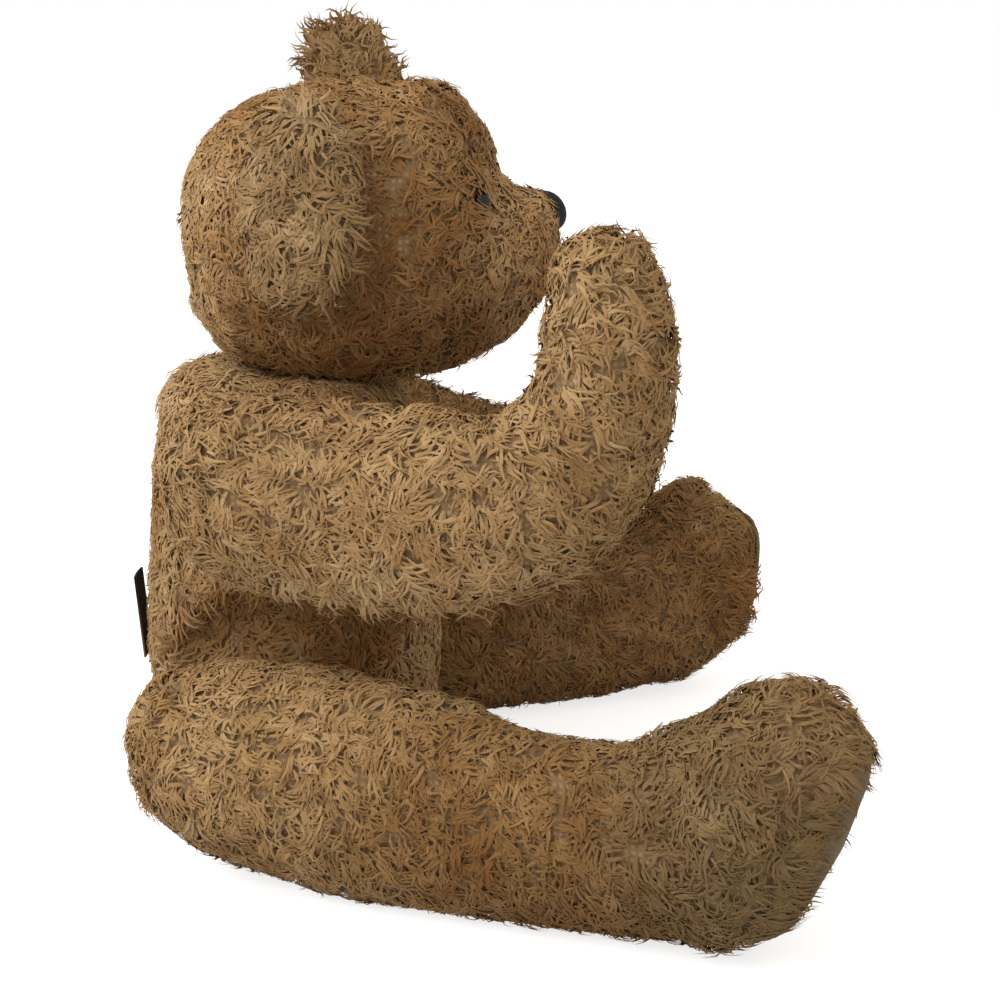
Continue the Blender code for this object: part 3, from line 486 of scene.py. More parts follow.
# locks gather in tufts, each with its own lean, tone and kind of lock
def gatherTufts(cloth, part, place, normal, own, rimLean):
    count = len(place)
    centres, _ = scatter(cloth.data, part.get("tufts", pileGrowth["tufts"]))
    start = Vector(pileGrowth["mottleStart"])
    mottle = np.array([[noise.noise(Vector(p) * scale + start) for scale in pileGrowth["mottleScales"]]
                       for p in centres])
    tuftTone = rng.normal(0, pileGrowth["tuftTone"], len(centres)) + mottle[:, 0] * pileGrowth["mottleTone"]
    tuftRust = rng.normal(*pileGrowth["tuftRust"], len(centres)) + mottle[:, 1] * pileGrowth["mottleRust"]
    tuftRise = rng.uniform(*pileGrowth["tuftRise"], len(centres))
    tuftLean = rng.normal(0, pileGrowth["tuftLean"], (len(centres), 3))
    tuftKind = rng.choice(len(locks), len(centres), p=lockShares)
    finder = KDTree(len(centres))
    for k, centre in enumerate(centres):
        finder.insert(centre, k)
    finder.balance()
    nearest = np.array([finder.find(p)[1] for p in place])
    own["toCentre"] = centres[nearest] - place
    nap = unit(place - part["away"]) * part["run"] + np.array((0, 0, -1.0)) * part["fall"]
    chance = rng.normal(0, pileGrowth["ownLean"], (count, 3))
    lean = nap * pileGrowth["napLean"] + tuftLean[nearest] + chance + rimLean
    own["lean"] = unit(lean - normal * (lean * normal).sum(axis=1)[:, None])
    own["rise"] *= tuftRise[nearest] * rng.uniform(*pileGrowth["ownRise"], count)
    own["reach"] *= rng.uniform(*pileGrowth["ownReach"], count)
    own["tone"] += tuftTone[nearest] + rng.normal(0, pileGrowth["ownTone"], count)
    own["rust"] = np.clip(own["rust"] + tuftRust[nearest], 0, 1)
    own["kind"] = np.where(rng.random(count) < pileGrowth["oneKind"], tuftKind[nearest],
                           rng.choice(len(locks), count, p=lockShares))


# copies every lock to its roots: points, corners and face sizes, what the material reads, and how the
# cloth faces under each point
def copyLocks(place, normal, own, keep):
    made = {"verts": [], "loops": [], "sizes": [], "pileLook": [], "lockSpace": [], "flat": [], "along": []}
    start = 0
    for number, lock in enumerate(locks):
        mine = np.nonzero(keep & (own["kind"] == number))[0]
        if not len(mine):
            continue
        shape, rest = lock["points"], lock["rest"]
        size = len(shape)
        lean, out = own["lean"][mine], normal[mine]
        side = np.cross(out, lean)
        wide = rng.uniform(*pileGrowth["ownWidth"], len(mine))[:, None, None]
        along = shape[None, :, 0, None] * own["reach"][mine][:, None, None] * lean[:, None, :]
        across = shape[None, :, 1, None] * wide * side[:, None, :]
        up = shape[None, :, 2, None] * own["rise"][mine][:, None, None] * out[:, None, :]
        gather = pileGrowth["gather"] * np.clip(rest[:, 2], 0, 1) ** pileGrowth["gatherBend"]
        drawn = own["toCentre"][mine][:, None, :] * gather[None, :, None]
        made["verts"].append((place[mine][:, None, :] + along + across + up + drawn).reshape(-1, 3))
        corners = np.array([i for face in lock["faces"] for i in face])
        offsets = start + np.arange(len(mine)) * size
        made["loops"].append((offsets[:, None] + corners[None, :]).ravel())
        made["sizes"].append(np.tile([len(face) for face in lock["faces"]], len(mine)))
        start += size * len(mine)
        look = np.stack([own["tone"][mine], own["grey"][mine], own["rust"][mine]], axis=1)
        made["pileLook"].append(np.repeat(look, size, axis=0))
        made["flat"].append(np.repeat(out, size, axis=0))
        made["along"].append(np.tile(rest[:, 2], len(mine)))
        shift = rng.uniform(0, pileGrowth["hairRoom"], (len(mine), 1, 3)) * (1, 1, 0)
        made["lockSpace"].append((rest[None] + shift).reshape(-1, 3))
    made = {key: np.concatenate(rows) for key, rows in made.items()}
    verts, room = made["verts"], pileGrowth["floorRoom"]
    low = verts[:, 2] < room
    verts[low, 2] = room * np.exp((verts[low, 2] - room) / room)
    return made


def growPile(cloth, part):
    place, normal = rootsOf(cloth, part)
    own, keep, rimLean = standing(place, normal, part)
    gatherTufts(cloth, part, place, normal, own, rimLean)
    made = copyLocks(place, normal, own, keep)
    mesh = bpy.data.meshes.new(part["name"] + "_pile")
    mesh.vertices.add(len(made["verts"]))
    mesh.vertices.foreach_set("co", made["verts"].astype(np.float32).ravel())
    mesh.loops.add(len(made["loops"]))
    mesh.loops.foreach_set("vertex_index", made["loops"].astype(np.int32))
    mesh.polygons.add(len(made["sizes"]))
    starts = np.concatenate([[0], np.cumsum(made["sizes"])[:-1]])
    mesh.polygons.foreach_set("loop_start", starts.astype(np.int32))
    for name in ("pileLook", "lockSpace"):
        attribute = mesh.attributes.new(name, "FLOAT_VECTOR", "POINT")
        attribute.data.foreach_set("vector", made[name].astype(np.float32).ravel())
    mesh.update(calc_edges=True)
    mesh.validate()
    obj = bpy.data.objects.new(part["name"] + "_pile", mesh)
    bpy.context.scene.collection.objects.link(obj)
    cloth.data.materials.append(backing)
    mesh.materials.append(pile)
    onlySelect(obj)
    bpy.ops.object.shade_smooth()
    # the hair's shading leans to the cloth's, so the pile takes the light softly
    faced = np.empty(len(made["verts"]) * 3, np.float32)
    mesh.vertices.foreach_get("normal", faced)
    lean = pileLook["softness"] * (1 - pileLook["tipLoss"] * np.clip(made["along"], 0, 1))[:, None]
    mesh.normals_split_custom_set_from_vertices(unit(faced.reshape(-1, 3) * (1 - lean) + made["flat"] * lean))
    onlySelect(cloth, obj)
    bpy.ops.object.join()
    print(part["name"], "has", int(keep.sum()), "locks and", len(cloth.data.polygons), "faces")


# what each body's cover is pressed against
beside = {
    "torso": ("head_cover", "arm_right_cover", "arm_left_cover", "leg_right_cover", "leg_left_cover"),
    "head": ("body_cover",),
    "arm_right": ("body_cover",),
    "arm_left": ("body_cover", "leg_left_cover"),
    "leg_right": ("body_cover",),
    "leg_left": ("body_cover", "arm_left_cover"),
}
around = {body: treeOf(*others) for body, others in beside.items()}
headTree, noseTree = treeOf("head_cover"), treeOf("nose")
density = 0.42     # locks in a square mm


# Each thing sewn on: how near it and how far under it no lock stands, how short the pile is beside it,
# and at a rim, where the locks lean, over what width, and how much further they reach
def sewnOn(*names, clear, over, short, **rim):
    return {"tree": treeOf(*names), "clear": clear, "over": over, "short": short, **rim}


def padRim(name, lean, width, far):
    return sewnOn(name, clear=0.0004, over=0.009, short=0.85, rim=lean, rimWidth=width, far=far)


# Covers: lengths in m; swell lifts the cloth in a patch, rise and reach scale the locks' height and
# length, tone, grey and rust colour them, away and run comb them outwards and fall downwards
furParts = (
    {
        "name": "body_mohair", "body": "torso", "cover": "body_cover", "stuffing": "body_stuffing",
        "density": density * 0.9, "around": around["torso"], "away": (-0.06, 0, 0.16), "run": 0.3, "fall": 0.9,
        "sewn": (sewnOn("back_tab", clear=0.0015, over=0.006, short=0.5),),
        "tone": 0.50,
        "patches": (
            # top of the back
            {"at": (-0.090, 0, 0.152), "radius": (0.028, 0.055, 0.022), "swell": 0.0022, "rise": 1.1, "reach": 1.1,
             "tone": 0.3},
            # middle of the back
            {"at": (-0.108, 0, 0.090), "radius": (0.020, 0.060, 0.050), "rise": 0.7},
            # near flank, under the arm: its pile painted darker and rustier, painted shade cast by the arm
            {"at": (-0.040, -0.048, 0.078), "radius": (0.080, 0.034, 0.030), "tone": -0.40, "rust": 0.5, "edge": 0.6},
        ),
    },
    {
        "name": "head_mohair", "body": "head", "cover": "head_cover", "stuffing": "head_stuffing",
        "density": density, "around": around["head"], "away": (0.03, 0, 0.20), "run": 0.8, "fall": 0.5,
        "sewn": (
            sewnOn("ear_right", "ear_left", clear=0.0015, over=0.008, short=0.45),
            sewnOn("nose", clear=0.0001, over=0.005, short=0.9, rim=(1.8, 0, 0.6), rimWidth=0.009, far=0.0),
            sewnOn("mouth", clear=0.0010, over=0.007, short=0.5),
            sewnOn("eye_right", "eye_left", clear=0.0001, over=0.0022, short=1.0, rim=(-2.0, 0, 0.3),
                   rimWidth=0.008, far=0.1),
        ),
        "tone": 0.44, "rust": 0.45,
        "patches": (
            # muzzle
            {"at": (0.016, 0, 0.193), "radius": (0.028, 0.034, 0.032), "rise": 0.55, "reach": 0.75, "tone": 0.64,
             "rust": 0.75},
            # over the eyes
            {"at": (0.003, 0, 0.207), "radius": (0.012, 0.036, 0.012), "rise": 1.8, "reach": 1.2},
            # forehead
            {"at": (-0.006, 0, 0.228), "radius": (0.024, 0.036, 0.020), "swell": 0.0046, "rise": 1.0},
            # nape
            {"at": (-0.088, 0, 0.163), "radius": (0.030, 0.050, 0.022), "swell": 0.0028, "rise": 1.2, "reach": 1.2,
             "tone": 0.35, "rust": 0.1},
            # back of the head: its pile painted lighter and less rusty, a painted pool of light where the lamp falls
            {"at": (-0.090, -0.020, 0.200), "radius": (0.030, 0.045, 0.040), "rise": 0.85, "tone": 0.30, "rust": 0.1},
            # hollows in front of the near ear and below it: the cloth dips, and the pile is painted darker and rustier
            # as painted shade of the ear
            {"at": (-0.025, -0.044, 0.207), "radius": (0.013, 0.024, 0.036), "swell": -0.0022, "rise": 0.5,
             "reach": 0.7, "tone": -0.55, "rust": 0.6},
            {"at": (-0.047, -0.046, 0.175), "radius": (0.024, 0.024, 0.011), "swell": -0.0018, "rise": 0.5,
             "reach": 0.7, "tone": -0.50, "rust": 0.6},
            # near cheek: its pile painted a little darker and rustier, painted shade from the ear
            {"at": (-0.020, -0.040, 0.195), "radius": (0.030, 0.030, 0.040), "tone": -0.16, "rust": 0.6},
        ),
    },
    {
        "name": "arm_right_mohair", "body": "arm_right", "cover": "arm_right_cover", "stuffing": "arm_right_stuffing",
        "density": density, "around": around["arm_right"], "away": (-0.10, -0.06, 0.13), "run": 0.6, "fall": 0.6,
        "sewn": (padRim("paw_pad_right", (0, 0, 0.8), 0.006, 0.0),),
        "tone": 0.52,
        "patches": (
            # fringe on the underside
            {"at": (0.0, -0.07, 0.09), "radius": (0.09, 0.06, 0.035), "reach": 1.6, "tone": 0.60,
             "facing": (0, -0.3, -1), "rise": 1.0},
            # shoulder, its top and its back
            {"at": (-0.085, -0.064, 0.146), "radius": (0.026, 0.034, 0.022), "swell": 0.0030, "rise": 1.2},
            {"at": (-0.094, -0.066, 0.110), "radius": (0.018, 0.040, 0.045), "rise": 0.6, "swell": -0.0010},
            # inside of the bend, and above it
            {"at": (0.006, -0.082, 0.148), "radius": (0.035, 0.030, 0.018), "swell": 0.0030, "rise": 1.2},
            {"at": (0.020, -0.087, 0.166), "radius": (0.012, 0.030, 0.016), "rise": 0.6},
            # tip of the paw
            {"at": (0.035, -0.075, 0.199), "radius": (0.022, 0.034, 0.014), "swell": 0.0022, "rise": 1.1},
        ),
    },
    {
        "name": "arm_left_mohair", "body": "arm_left", "cover": "arm_left_cover", "stuffing": "arm_left_stuffing",
        "density": density, "around": around["arm_left"], "away": (-0.10, 0.06, 0.13), "run": 0.6, "fall": 0.6,
        "sewn": (padRim("paw_pad_left", (0, 0, 0.8), 0.006, 0.0),),
        "tone": 0.45, "rust": 0.2,
        "patches": (
            # top of the forearm
            {"at": (0.003, 0.078, 0.130), "radius": (0.058, 0.048, 0.026), "swell": -0.0050, "rise": 0.5},
        ),
    },
    {
        "name": "leg_right_mohair", "body": "leg_right", "cover": "leg_right_cover", "stuffing": "leg_right_stuffing",
        "density": density, "around": around["leg_right"], "away": (-0.11, -0.06, 0.04), "run": 0.6, "fall": 0.5,
        "sewn": (padRim("sole_pad_right", (5.0, 0, 0.5), 0.010, 0.35),),
        "tone": 0.46,
        "patches": (
            # foot: its pile greyed, and painted darker as painted shade away from the lamp
            {"at": (0.080, -0.115, 0.040), "radius": (0.062, 0.06, 0.06), "grey": 0.7, "tone": -0.46, "edge": 0.7},
            # calf: its pile painted darker and rustier, painted shade on the low side of the leg away from the lamp
            {"at": (0.012, -0.105, 0.030), "radius": (0.074, 0.05, 0.05), "tone": -0.52, "rust": 0.35, "edge": 0.8},
            # dip above the ankle
            {"at": (0.036, -0.072, 0.054), "radius": (0.042, 0.032, 0.022), "swell": -0.0034, "rise": 0.6},
            # hip, its underside and its back
            {"at": (-0.083, -0.070, 0.010), "radius": (0.050, 0.050, 0.020), "swell": -0.0018, "rise": 0.7},
            {"at": (-0.101, -0.058, 0.056), "radius": (0.016, 0.030, 0.018), "swell": 0.0020, "rise": 1.2},
            # toe
            {"at": (0.0875, -0.100, 0.077), "radius": (0.026, 0.034, 0.014), "swell": 0.0026, "rise": 1.05},
        ),
    },
    {
        "name": "leg_left_mohair", "body": "leg_left", "cover": "leg_left_cover", "stuffing": "leg_left_stuffing",
        "density": density, "around": around["leg_left"], "away": (-0.11, 0.06, 0.04), "run": 0.6, "fall": 0.5,
        "sewn": (padRim("sole_pad_left", (5.0, 0, 0.5), 0.010, 0.35),),
        # the far leg's pile is painted darker and rustier than the near leg's: painted shade on the leg turned from the
        # lamp
        "tone": 0.32, "rust": 0.4,
        "patches": (
            # front rim of the sole
            {"at": (0.108, 0.114, 0.060), "radius": (0.026, 0.036, 0.034), "swell": -0.0024, "rise": 0.8},
            # toe
            {"at": (0.078, 0.120, 0.078), "radius": (0.020, 0.030, 0.018), "swell": 0.0035, "rise": 1.5},
            # lower rim of the sole
            {"at": (0.106, 0.091, 0.034), "radius": (0.016, 0.034, 0.020), "swell": 0.0015, "rise": 1.3},
        ),
    },
    {
        "name": "ear_right_mohair", "body": "head", "cover": "ear_right", "stuffing": None,
        "density": density * 1.2, "around": headTree, "away": (-0.05, -0.05, 0.245), "run": 0.4, "fall": 1.0,
        "depth": -0.0008, "voxel": 0.0020, "rise": 1.15, "reach": 1.2, "tone": 0.50, "grey": 0.32, "tufts": 0.040,
    },
    {
        "name": "ear_left_mohair", "body": "head", "cover": "ear_left", "stuffing": None,
        "density": density * 1.2, "around": headTree, "away": (-0.035, 0.03, 0.22), "run": 0.9, "fall": 0.1,
        "depth": 0.0022, "voxel": 0.0020, "rise": 0.75, "reach": 0.85, "tone": 0.45, "grey": 0.10, "tufts": 0.040,
    },
)

for part in furParts:
    cloth = clothOf(part["name"], part["cover"], part, part.get("depth", clothLook["pileDepth"]),
                    part.get("voxel", clothLook["voxel"]))
    growPile(cloth, part)
    cloth.name = part["name"]
    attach(cloth, part["body"])
    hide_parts(part["cover"])


# Wood wool: curled shavings of pale pine 1 mm wide, packed hard. Only an opened bear shows it.
wadding = {"depth": 0.0050, "voxel": 0.0040}     # how far it lies inside its solid, and the size of its faces


def woodWool():
    made, tree, shader = newMaterial("pine_wood_wool", Roughness=0.8, Specular_IOR_Level=0.3)
    place = objectSpace(tree)
    swirl = addNode(tree, "ShaderNodeTexNoise", [("Vector", place), ("Scale", 70.0), ("Detail", 2.0)])
    shifted = mixVectors(tree, 0.12, place, swirl.outputs["Color"])
    strands = addBands(tree, shifted, 260.0, "X", 9.0)
    colour = addRamp(tree, strands, ((0.0, "#8d6c3c"), (0.5, "#cfae74"), (1.0, "#ecd9a8")))
    feedShader(tree, shader, colour, strands, 0.8, 0.001)
    return made


wool = woodWool()
for part in furParts:
    if not part["stuffing"]:
        continue
    inside = {"around": part["around"], "patches": part["patches"]}
    filling = clothOf(part["stuffing"] + "_wool", part["stuffing"], inside, wadding["depth"], wadding["voxel"])
    filling.data.materials.append(wool)
    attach(filling, part["body"])
    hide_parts(part["stuffing"])
print("wood wool packed")


# Felt: pressed wool, worn and greyed. Its fibres lie in matted flecks of 1 mm, coarser than real ones.
feltLook = {"voxel": 0.0010, "rounds": 3, "colours": ((0.2, "#564b37"), (0.5, "#73674e"), (0.8, "#8c8066"))}


def woolFelt():
    made, tree, shader = newMaterial("wool_felt", Roughness=0.95, Specular_IOR_Level=0.1, Sheen_Weight=0.06,
                                     Sheen_Roughness=0.5)
    place = objectSpace(tree)
    fibres = addNoise(tree, place, 900.0, 4.0, 0.7)
    stains = addNoise(tree, place, 60.0, 4.0)
    colour = addRamp(tree, mixValues(tree, 0.45, stains, fibres), feltLook["colours"])
    feedShader(tree, shader, colour, fibres, 0.5, 0.0004)
    return made


felt = woolFelt()
for where, body in (("paw", "arm"), ("sole", "leg")):
    for hand in ("right", "left"):
        name = f"{where}_pad_{hand}"
        pad = copyOf(name + "_felt", name)
        reskin(pad, feltLook["voxel"], feltLook["rounds"])
        bpy.ops.object.shade_smooth()
        pad.data.materials.append(felt)
        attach(pad, f"{body}_{hand}")
        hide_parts(name)
print("felt pads cut")


# threads laid along rows of points, as one mesh
def threads(name, rows, radius):
    curve = bpy.data.curves.new(name, "CURVE")
    curve.dimensions = "3D"
    curve.bevel_depth = radius
    curve.bevel_resolution = 1
    curve.use_fill_caps = True
    curve.resolution_u = 2
    for row in rows:
        line = curve.splines.new("NURBS")
        line.points.add(len(row) - 1)
        line.use_endpoint_u = True
        for point, at in zip(line.points, row):
            point.co = (*at, 1)
    obj = bpy.data.objects.new(name, curve)
    bpy.context.scene.collection.objects.link(obj)
    onlySelect(obj)
    bpy.ops.object.convert(target="MESH")
    bpy.ops.object.shade_smooth()
    return bpy.context.object


# a thread's ends go in through the cloth
def tucked(row, depth):
    first, last = ((x - depth, y, z) for x, y, z in (row[0], row[-1]))
    return [first] + row + [last]


# Black cotton floss: loose strands of 0.35 mm laid flat, worn to a soft shine
def cottonFloss():
    made, tree, shader = newMaterial("cotton_floss", Roughness=0.45, Specular_IOR_Level=0.3)
    place = objectSpace(tree)
    strands = addBands(tree, place, 900.0, "Y", 2.0, 1.0)
    wear = addNoise(tree, place, 240.0, 3.0)
    colour = addRamp(tree, mixValues(tree, 0.5, strands, wear), ((0.25, "#0b0908"), (0.6, "#151211"), (0.9, "#292421")))
    feedShader(tree, shader, colour, strands, 0.4, 0.0002)
    return made


floss = cottonFloss()
inFront, backwards = 0.1, Vector((-1, 0, 0))     # rays at the face start in front of it and run back
noseLook = {"thread": 0.00042, "pitch": 0.00070, "tuck": 0.0012, "wander": 0.00006, "probes": 60, "fewest": 8,
            "points": 12}
noseLow, noseHigh = (Vector(corner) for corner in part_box("nose"))
rows = []
for k in range(int((noseHigh.y - noseLow.y) / noseLook["pitch"])):
    y = noseLow.y + noseLook["pitch"] * (k + 0.5)
    hits = []
    for z in np.linspace(noseLow.z, noseHigh.z, noseLook["probes"]):
        spot = noseTree.ray_cast(Vector((inFront, y, z)), backwards)[0]
        if spot is not None:
            hits.append(spot)
    if len(hits) < noseLook["fewest"]:
        continue
    row = [hits[i] for i in np.linspace(0, len(hits) - 1, noseLook["points"]).astype(int)]
    wander = rng.normal(0, noseLook["wander"], len(row))
    rows.append(tucked([(p.x, p.y + w, p.z) for p, w in zip(row, wander)], noseLook["tuck"]))

nose = copyOf("nose_satin_stitch", "nose")
bpy.ops.object.shade_smooth()
stitches = threads("nose_stitches", rows, noseLook["thread"])
nose.data.materials.append(floss)
stitches.data.materials.append(floss)
onlySelect(nose, stitches)
bpy.ops.object.join()
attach(nose, "head")
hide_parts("nose")
print("nose stitched with", len(rows), "threads")

mouthLook = {"thread": 0.00045, "apart": 0.00085, "lift": 0.0003, "stem": 0.0100, "overlap": 0.001,
             "tuck": 0.0014, "points": 9}
mouthLow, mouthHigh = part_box("mouth")
top, fork = (0, mouthHigh[2] + mouthLook["overlap"]), (0, mouthHigh[2] - mouthLook["stem"])
runs = ((top, fork), (fork, (mouthHigh[1], mouthLow[2])), (fork, (mouthLow[1], mouthLow[2])))
rows = []
for (startY, startZ), (endY, endZ) in runs:
    across = Vector((0, endZ - startZ, startY - endY)).normalized()
    for side in (-0.5, 0.5):
        row = []
        for share in np.linspace(0, 1, mouthLook["points"]):
            at = Vector((inFront, startY + (endY - startY) * share, startZ + (endZ - startZ) * share))
            at += across * side * mouthLook["apart"]
            spot = headTree.ray_cast(at, backwards)[0]
            if spot is not None:
                row.append((spot.x + mouthLook["lift"], spot.y, spot.z))
        rows.append(tucked(row, mouthLook["tuck"]))

mouth = threads("mouth_stitches", rows, mouthLook["thread"])
mouth.data.materials.append(floss)
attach(mouth, "head")
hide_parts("mouth")
print("mouth stitched")


# Glass: a blown black eye on a wire loop, smooth and glossy, with very dark brown and faint scuffs in it
def blackGlass():
    made, tree, shader = newMaterial("black_glass", Roughness=0.07, IOR=1.50, Specular_IOR_Level=0.35)
    scuffs = addNoise(tree, objectSpace(tree), 700.0, 4.0)
    tree.links.new(addRamp(tree, scuffs, ((0.3, "#070504"), (0.8, "#1d120b"))), shader.inputs["Base Color"])
    tree.links.new(addRange(tree, scuffs, 0.4, 0.8, 0.05, 0.18), shader.inputs["Roughness"])
    return made


# Steel: drawn wire and stamped washers, dull bright with a film of rust in patches
def dullSteel(name, grain):
    made, tree, shader = newMaterial(name, Metallic=1.0)
    place = objectSpace(tree)
    marks = addNoise(tree, place, grain, 5.0)
    film = addRamp(tree, addNoise(tree, place, 260.0, 5.0), ((0.45, "#b9b6b0"), (0.62, "#98918a"), (0.78, "#7c5a42")))
    tree.links.new(addRange(tree, marks, 0.3, 0.7, 0.28, 0.55), shader.inputs["Roughness"])
    feedShader(tree, shader, film, marks, 0.2, 0.0001)
    return made


glass = blackGlass()
washerSteel, wireSteel = dullSteel("stamped_steel", 900.0), dullSteel("drawn_steel_wire", 1500.0)
# dome and back are shares of the radius; the loop's top is sunk in the glass, under its middle
eyeLook = {"radius": 0.0035, "dome": 0.80, "back": 0.20, "loop": 0.0013, "wire": 0.00045, "sunk": 0.0004}
skullMiddle = Vector((-0.03, 0, 0.20))
for hand in ("right", "left"):
    name = "eye_" + hand
    corners = [v.co for v in nodes[name].data.vertices]
    front = max(corners, key=lambda p: (p - skullMiddle).length)
    back = min(corners, key=lambda p: (p - skullMiddle).length)
    outward = (front - back).normalized()
    seat = front - outward * eyeLook["radius"] * eyeLook["dome"]
    onlySelect(nodes[name])
    bpy.ops.mesh.primitive_uv_sphere_add(segments=32, ring_count=20, radius=eyeLook["radius"])
    eye = bpy.context.object
    bpy.ops.object.mode_set(mode="EDIT")
    for above, flat in ((True, eyeLook["dome"]), (False, eyeLook["back"])):
        bpy.ops.mesh.select_all(action="DESELECT")
        bpy.ops.object.mode_set(mode="OBJECT")
        for vert in eye.data.vertices:
            vert.select = vert.co.z > 1e-6 if above else vert.co.z < -1e-6     # the middle ring stays
        bpy.ops.object.mode_set(mode="EDIT")
        bpy.ops.transform.resize(value=(1, 1, flat), center_override=(0, 0, 0))
    bpy.ops.object.mode_set(mode="OBJECT")
    eye.data.materials.append(glass)
    bpy.ops.mesh.primitive_torus_add(major_segments=20, minor_segments=8, major_radius=eyeLook["loop"],
                                     minor_radius=eyeLook["wire"], rotation=(math.pi / 2, 0, 0),
                                     location=(0, 0, -eyeLook["loop"] - eyeLook["sunk"]))
    loop = bpy.context.object
    loop.data.materials.append(wireSteel)
    onlySelect(eye, loop)
    bpy.ops.object.transform_apply(location=True, rotation=True, scale=True)
    bpy.ops.object.join()
    bpy.ops.object.shade_smooth()
    eye.matrix_world = outward.to_track_quat("Z", "Y").to_matrix().to_4x4()
    eye.location = seat
    bpy.ops.object.transform_apply(location=True, rotation=True, scale=True)
    eye.name = name + "_glass"
    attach(eye, "head")
    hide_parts(name)
print("eyes set")


# Ribbon: a woven rayon tape, darkening from brown at its lower end to near black at its top. Its threads
# are 1 mm wide, coarser than real ones.
tabLook = {"width": 0.012, "length": 0.029, "thickness": 0.0006, "curl": 0.0004, "inset": 0.0004, "margin": 0.0002}
tabLow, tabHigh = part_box("back_tab")


def wovenTape():
    made, tree, shader = newMaterial("woven_tape", Roughness=0.9, Specular_IOR_Level=0.12)
    place = objectSpace(tree)
    height = addNode(tree, "ShaderNodeSeparateXYZ", [(0, place)]).outputs[2]
    # the share of the way up the tab, 0 at its lower end and 1 at its top
    fade = addRange(tree, height, tabLow[2], tabHigh[2], 0.0, 1.0)
    colour = addRamp(tree, fade, ((0.0, "#7d6250"), (0.45, "#594239"), (0.85, "#2c2321")))
    weave = addWeave(tree, place, 320.0, "Y")
    toned = mixColours(tree, 1.0, colour, addRange(tree, weave, 0.0, 0.6, 0.75, 1.15), "MULTIPLY")
    feedShader(tree, shader, toned, weave, 0.5, 0.0002)
    return made


onlySelect(nodes["back_tab"])
bpy.ops.mesh.primitive_grid_add(x_subdivisions=24, y_subdivisions=10, size=1, rotation=(0, -math.pi / 2, 0))
tab = bpy.context.object
bpy.ops.object.transform_apply(location=False, rotation=True, scale=False)
lean = (tabHigh[0] - tabLow[0] - 2 * tabLook["inset"]) / (tabHigh[2] - tabLow[2])
rise = tabHigh[2] - tabLow[2] - 2 * tabLook["margin"]
for vert in tab.data.vertices:
    up, across = vert.co.z + 0.5, vert.co.y * 2     # up from 0 to 1, across from -1 to 1
    z = tabLow[2] + tabLook["margin"] + up * rise
    x = tabHigh[0] - tabLook["inset"] - lean * (z - tabLow[2]) - tabLook["curl"] * up * (1 - across * across)
    vert.co = (x, vert.co.y * tabLook["width"], z)
bpy.ops.object.mode_set(mode="EDIT")
bpy.ops.mesh.select_all(action="SELECT")
bpy.ops.mesh.normals_make_consistent(inside=False)
bpy.ops.object.mode_set(mode="OBJECT")
wall = tab.modifiers.new("wall", "SOLIDIFY")
wall.thickness = tabLook["thickness"]
wall.offset = 0
applyAll(tab)
bpy.ops.object.shade_smooth_by_angle(angle=math.radians(40))
tab.name = "back_tab_tape"
tab.data.materials.append(wovenTape())
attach(tab, "torso")
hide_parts("back_tab")
print("tab sewn in")


# Fibreboard: pressed brown pulp board, matt, flecked and fibrous, its flecks 1 to 2 mm, coarser than real ones
def fibreBoard():
    made, tree, shader = newMaterial("pressed_fibreboard", Roughness=0.88, Specular_IOR_Level=0.25)
    place = objectSpace(tree)
    pulp = addNoise(tree, place, 800.0, 6.0, 0.7)
    fleck = addNode(tree, "ShaderNodeTexVoronoi", [("Vector", place), ("Scale", 420.0)]).outputs["Distance"]
    colour = addRamp(tree, mixValues(tree, 0.35, pulp, fleck), ((0.25, "#5d452c"), (0.5, "#826343"), (0.75, "#a48460")))
    feedShader(tree, shader, colour, pulp, 0.35, 0.0003)
    return made


finishes = {"_disc_": fibreBoard(), "_washer_": washerSteel, "_pin": wireSteel}
for name, node in nodes.items():
    for word, finish in finishes.items():
        if word in name:
            node.data.materials.clear()
            node.data.materials.append(finish)
print("joints finished")


# Studio: a plain pale floor that runs on into white, one broad soft lamp from the upper left
studio = {
    "floor": "#c9c9cb", "floorSize": 12, "lift": 0.74, "sky": 0.82, "skyTint": "#fff7ea",
    "lamp": 9.7, "lampAt": (-0.70, -0.40, 0.85), "lampTo": (-0.02, -0.03, 0.12), "lampSize": 1.1,
}


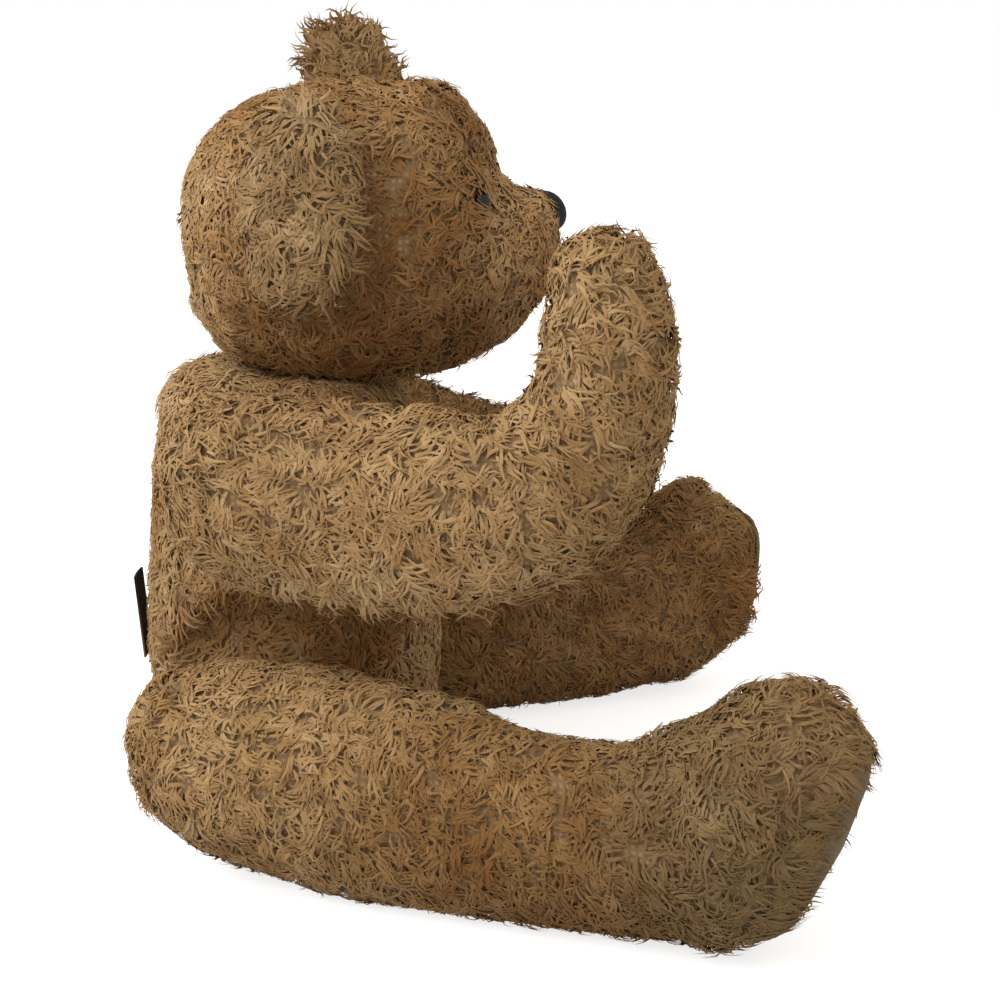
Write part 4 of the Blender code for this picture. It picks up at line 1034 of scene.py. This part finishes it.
# 1 for the rays that are seen, straight or by a gloss or through glass, and 0 for the rest
def cameraShare(tree):
    path = addNode(tree, "ShaderNodeLightPath").outputs
    seen = addMath(tree, "MAXIMUM", path["Is Camera Ray"], path["Is Glossy Ray"])
    return addMath(tree, "MAXIMUM", seen, path["Is Transmission Ray"])


bpy.ops.mesh.primitive_plane_add(size=studio["floorSize"])
floor = bpy.context.object
floor.name = "floor"
paper = bpy.data.materials.new("studio_paper")
paper.use_nodes = True
tree = paper.node_tree
tree.nodes.clear()
lift = addMath(tree, "MULTIPLY", cameraShare(tree), studio["lift"])
glow = addNode(tree, "ShaderNodeEmission", [("Strength", lift)])
matt = addNode(tree, "ShaderNodeBsdfDiffuse", [("Color", hexColour(studio["floor"]))])
both = addNode(tree, "ShaderNodeAddShader", [(0, glow.outputs[0]), (1, matt.outputs[0])])
addNode(tree, "ShaderNodeOutputMaterial", [("Surface", both.outputs[0])])
floor.data.materials.append(paper)

world = bpy.data.worlds.new("studio_white")
world.use_nodes = True
bpy.context.scene.world = world
tree = world.node_tree
tree.nodes.clear()
soft = addNode(tree, "ShaderNodeBackground", [("Color", hexColour(studio["skyTint"])), ("Strength", studio["sky"])])
white = addNode(tree, "ShaderNodeBackground", [("Color", (1, 1, 1, 1)), ("Strength", 1.0)])
both = addNode(tree, "ShaderNodeMixShader", [(0, cameraShare(tree)), (1, soft.outputs[0]), (2, white.outputs[0])])
addNode(tree, "ShaderNodeOutputWorld", [("Surface", both.outputs[0])])

bpy.ops.object.light_add(type="AREA", location=studio["lampAt"])
lamp = bpy.context.object
lamp.data.shape = "DISK"
lamp.data.size = studio["lampSize"]
lamp.data.energy = studio["lamp"]
lamp.rotation_euler = (Vector(studio["lampAt"]) - Vector(studio["lampTo"])).to_track_quat("Z", "Y").to_euler()

view = {"target": Vector((0.0092, 0, 0.105)), "distance": 0.57, "elevation": 15, "lens": 61.2}
tilt = math.radians(view["elevation"])
behind = Vector((0, -math.cos(tilt), math.sin(tilt))) * view["distance"]
bpy.ops.object.camera_add(location=view["target"] + behind, rotation=(math.pi / 2 - tilt, 0, 0))
camera = bpy.context.object
camera.data.lens = view["lens"]
bpy.context.scene.camera = camera
bpy.context.scene.view_settings.view_transform = "Standard"
print("studio lit")
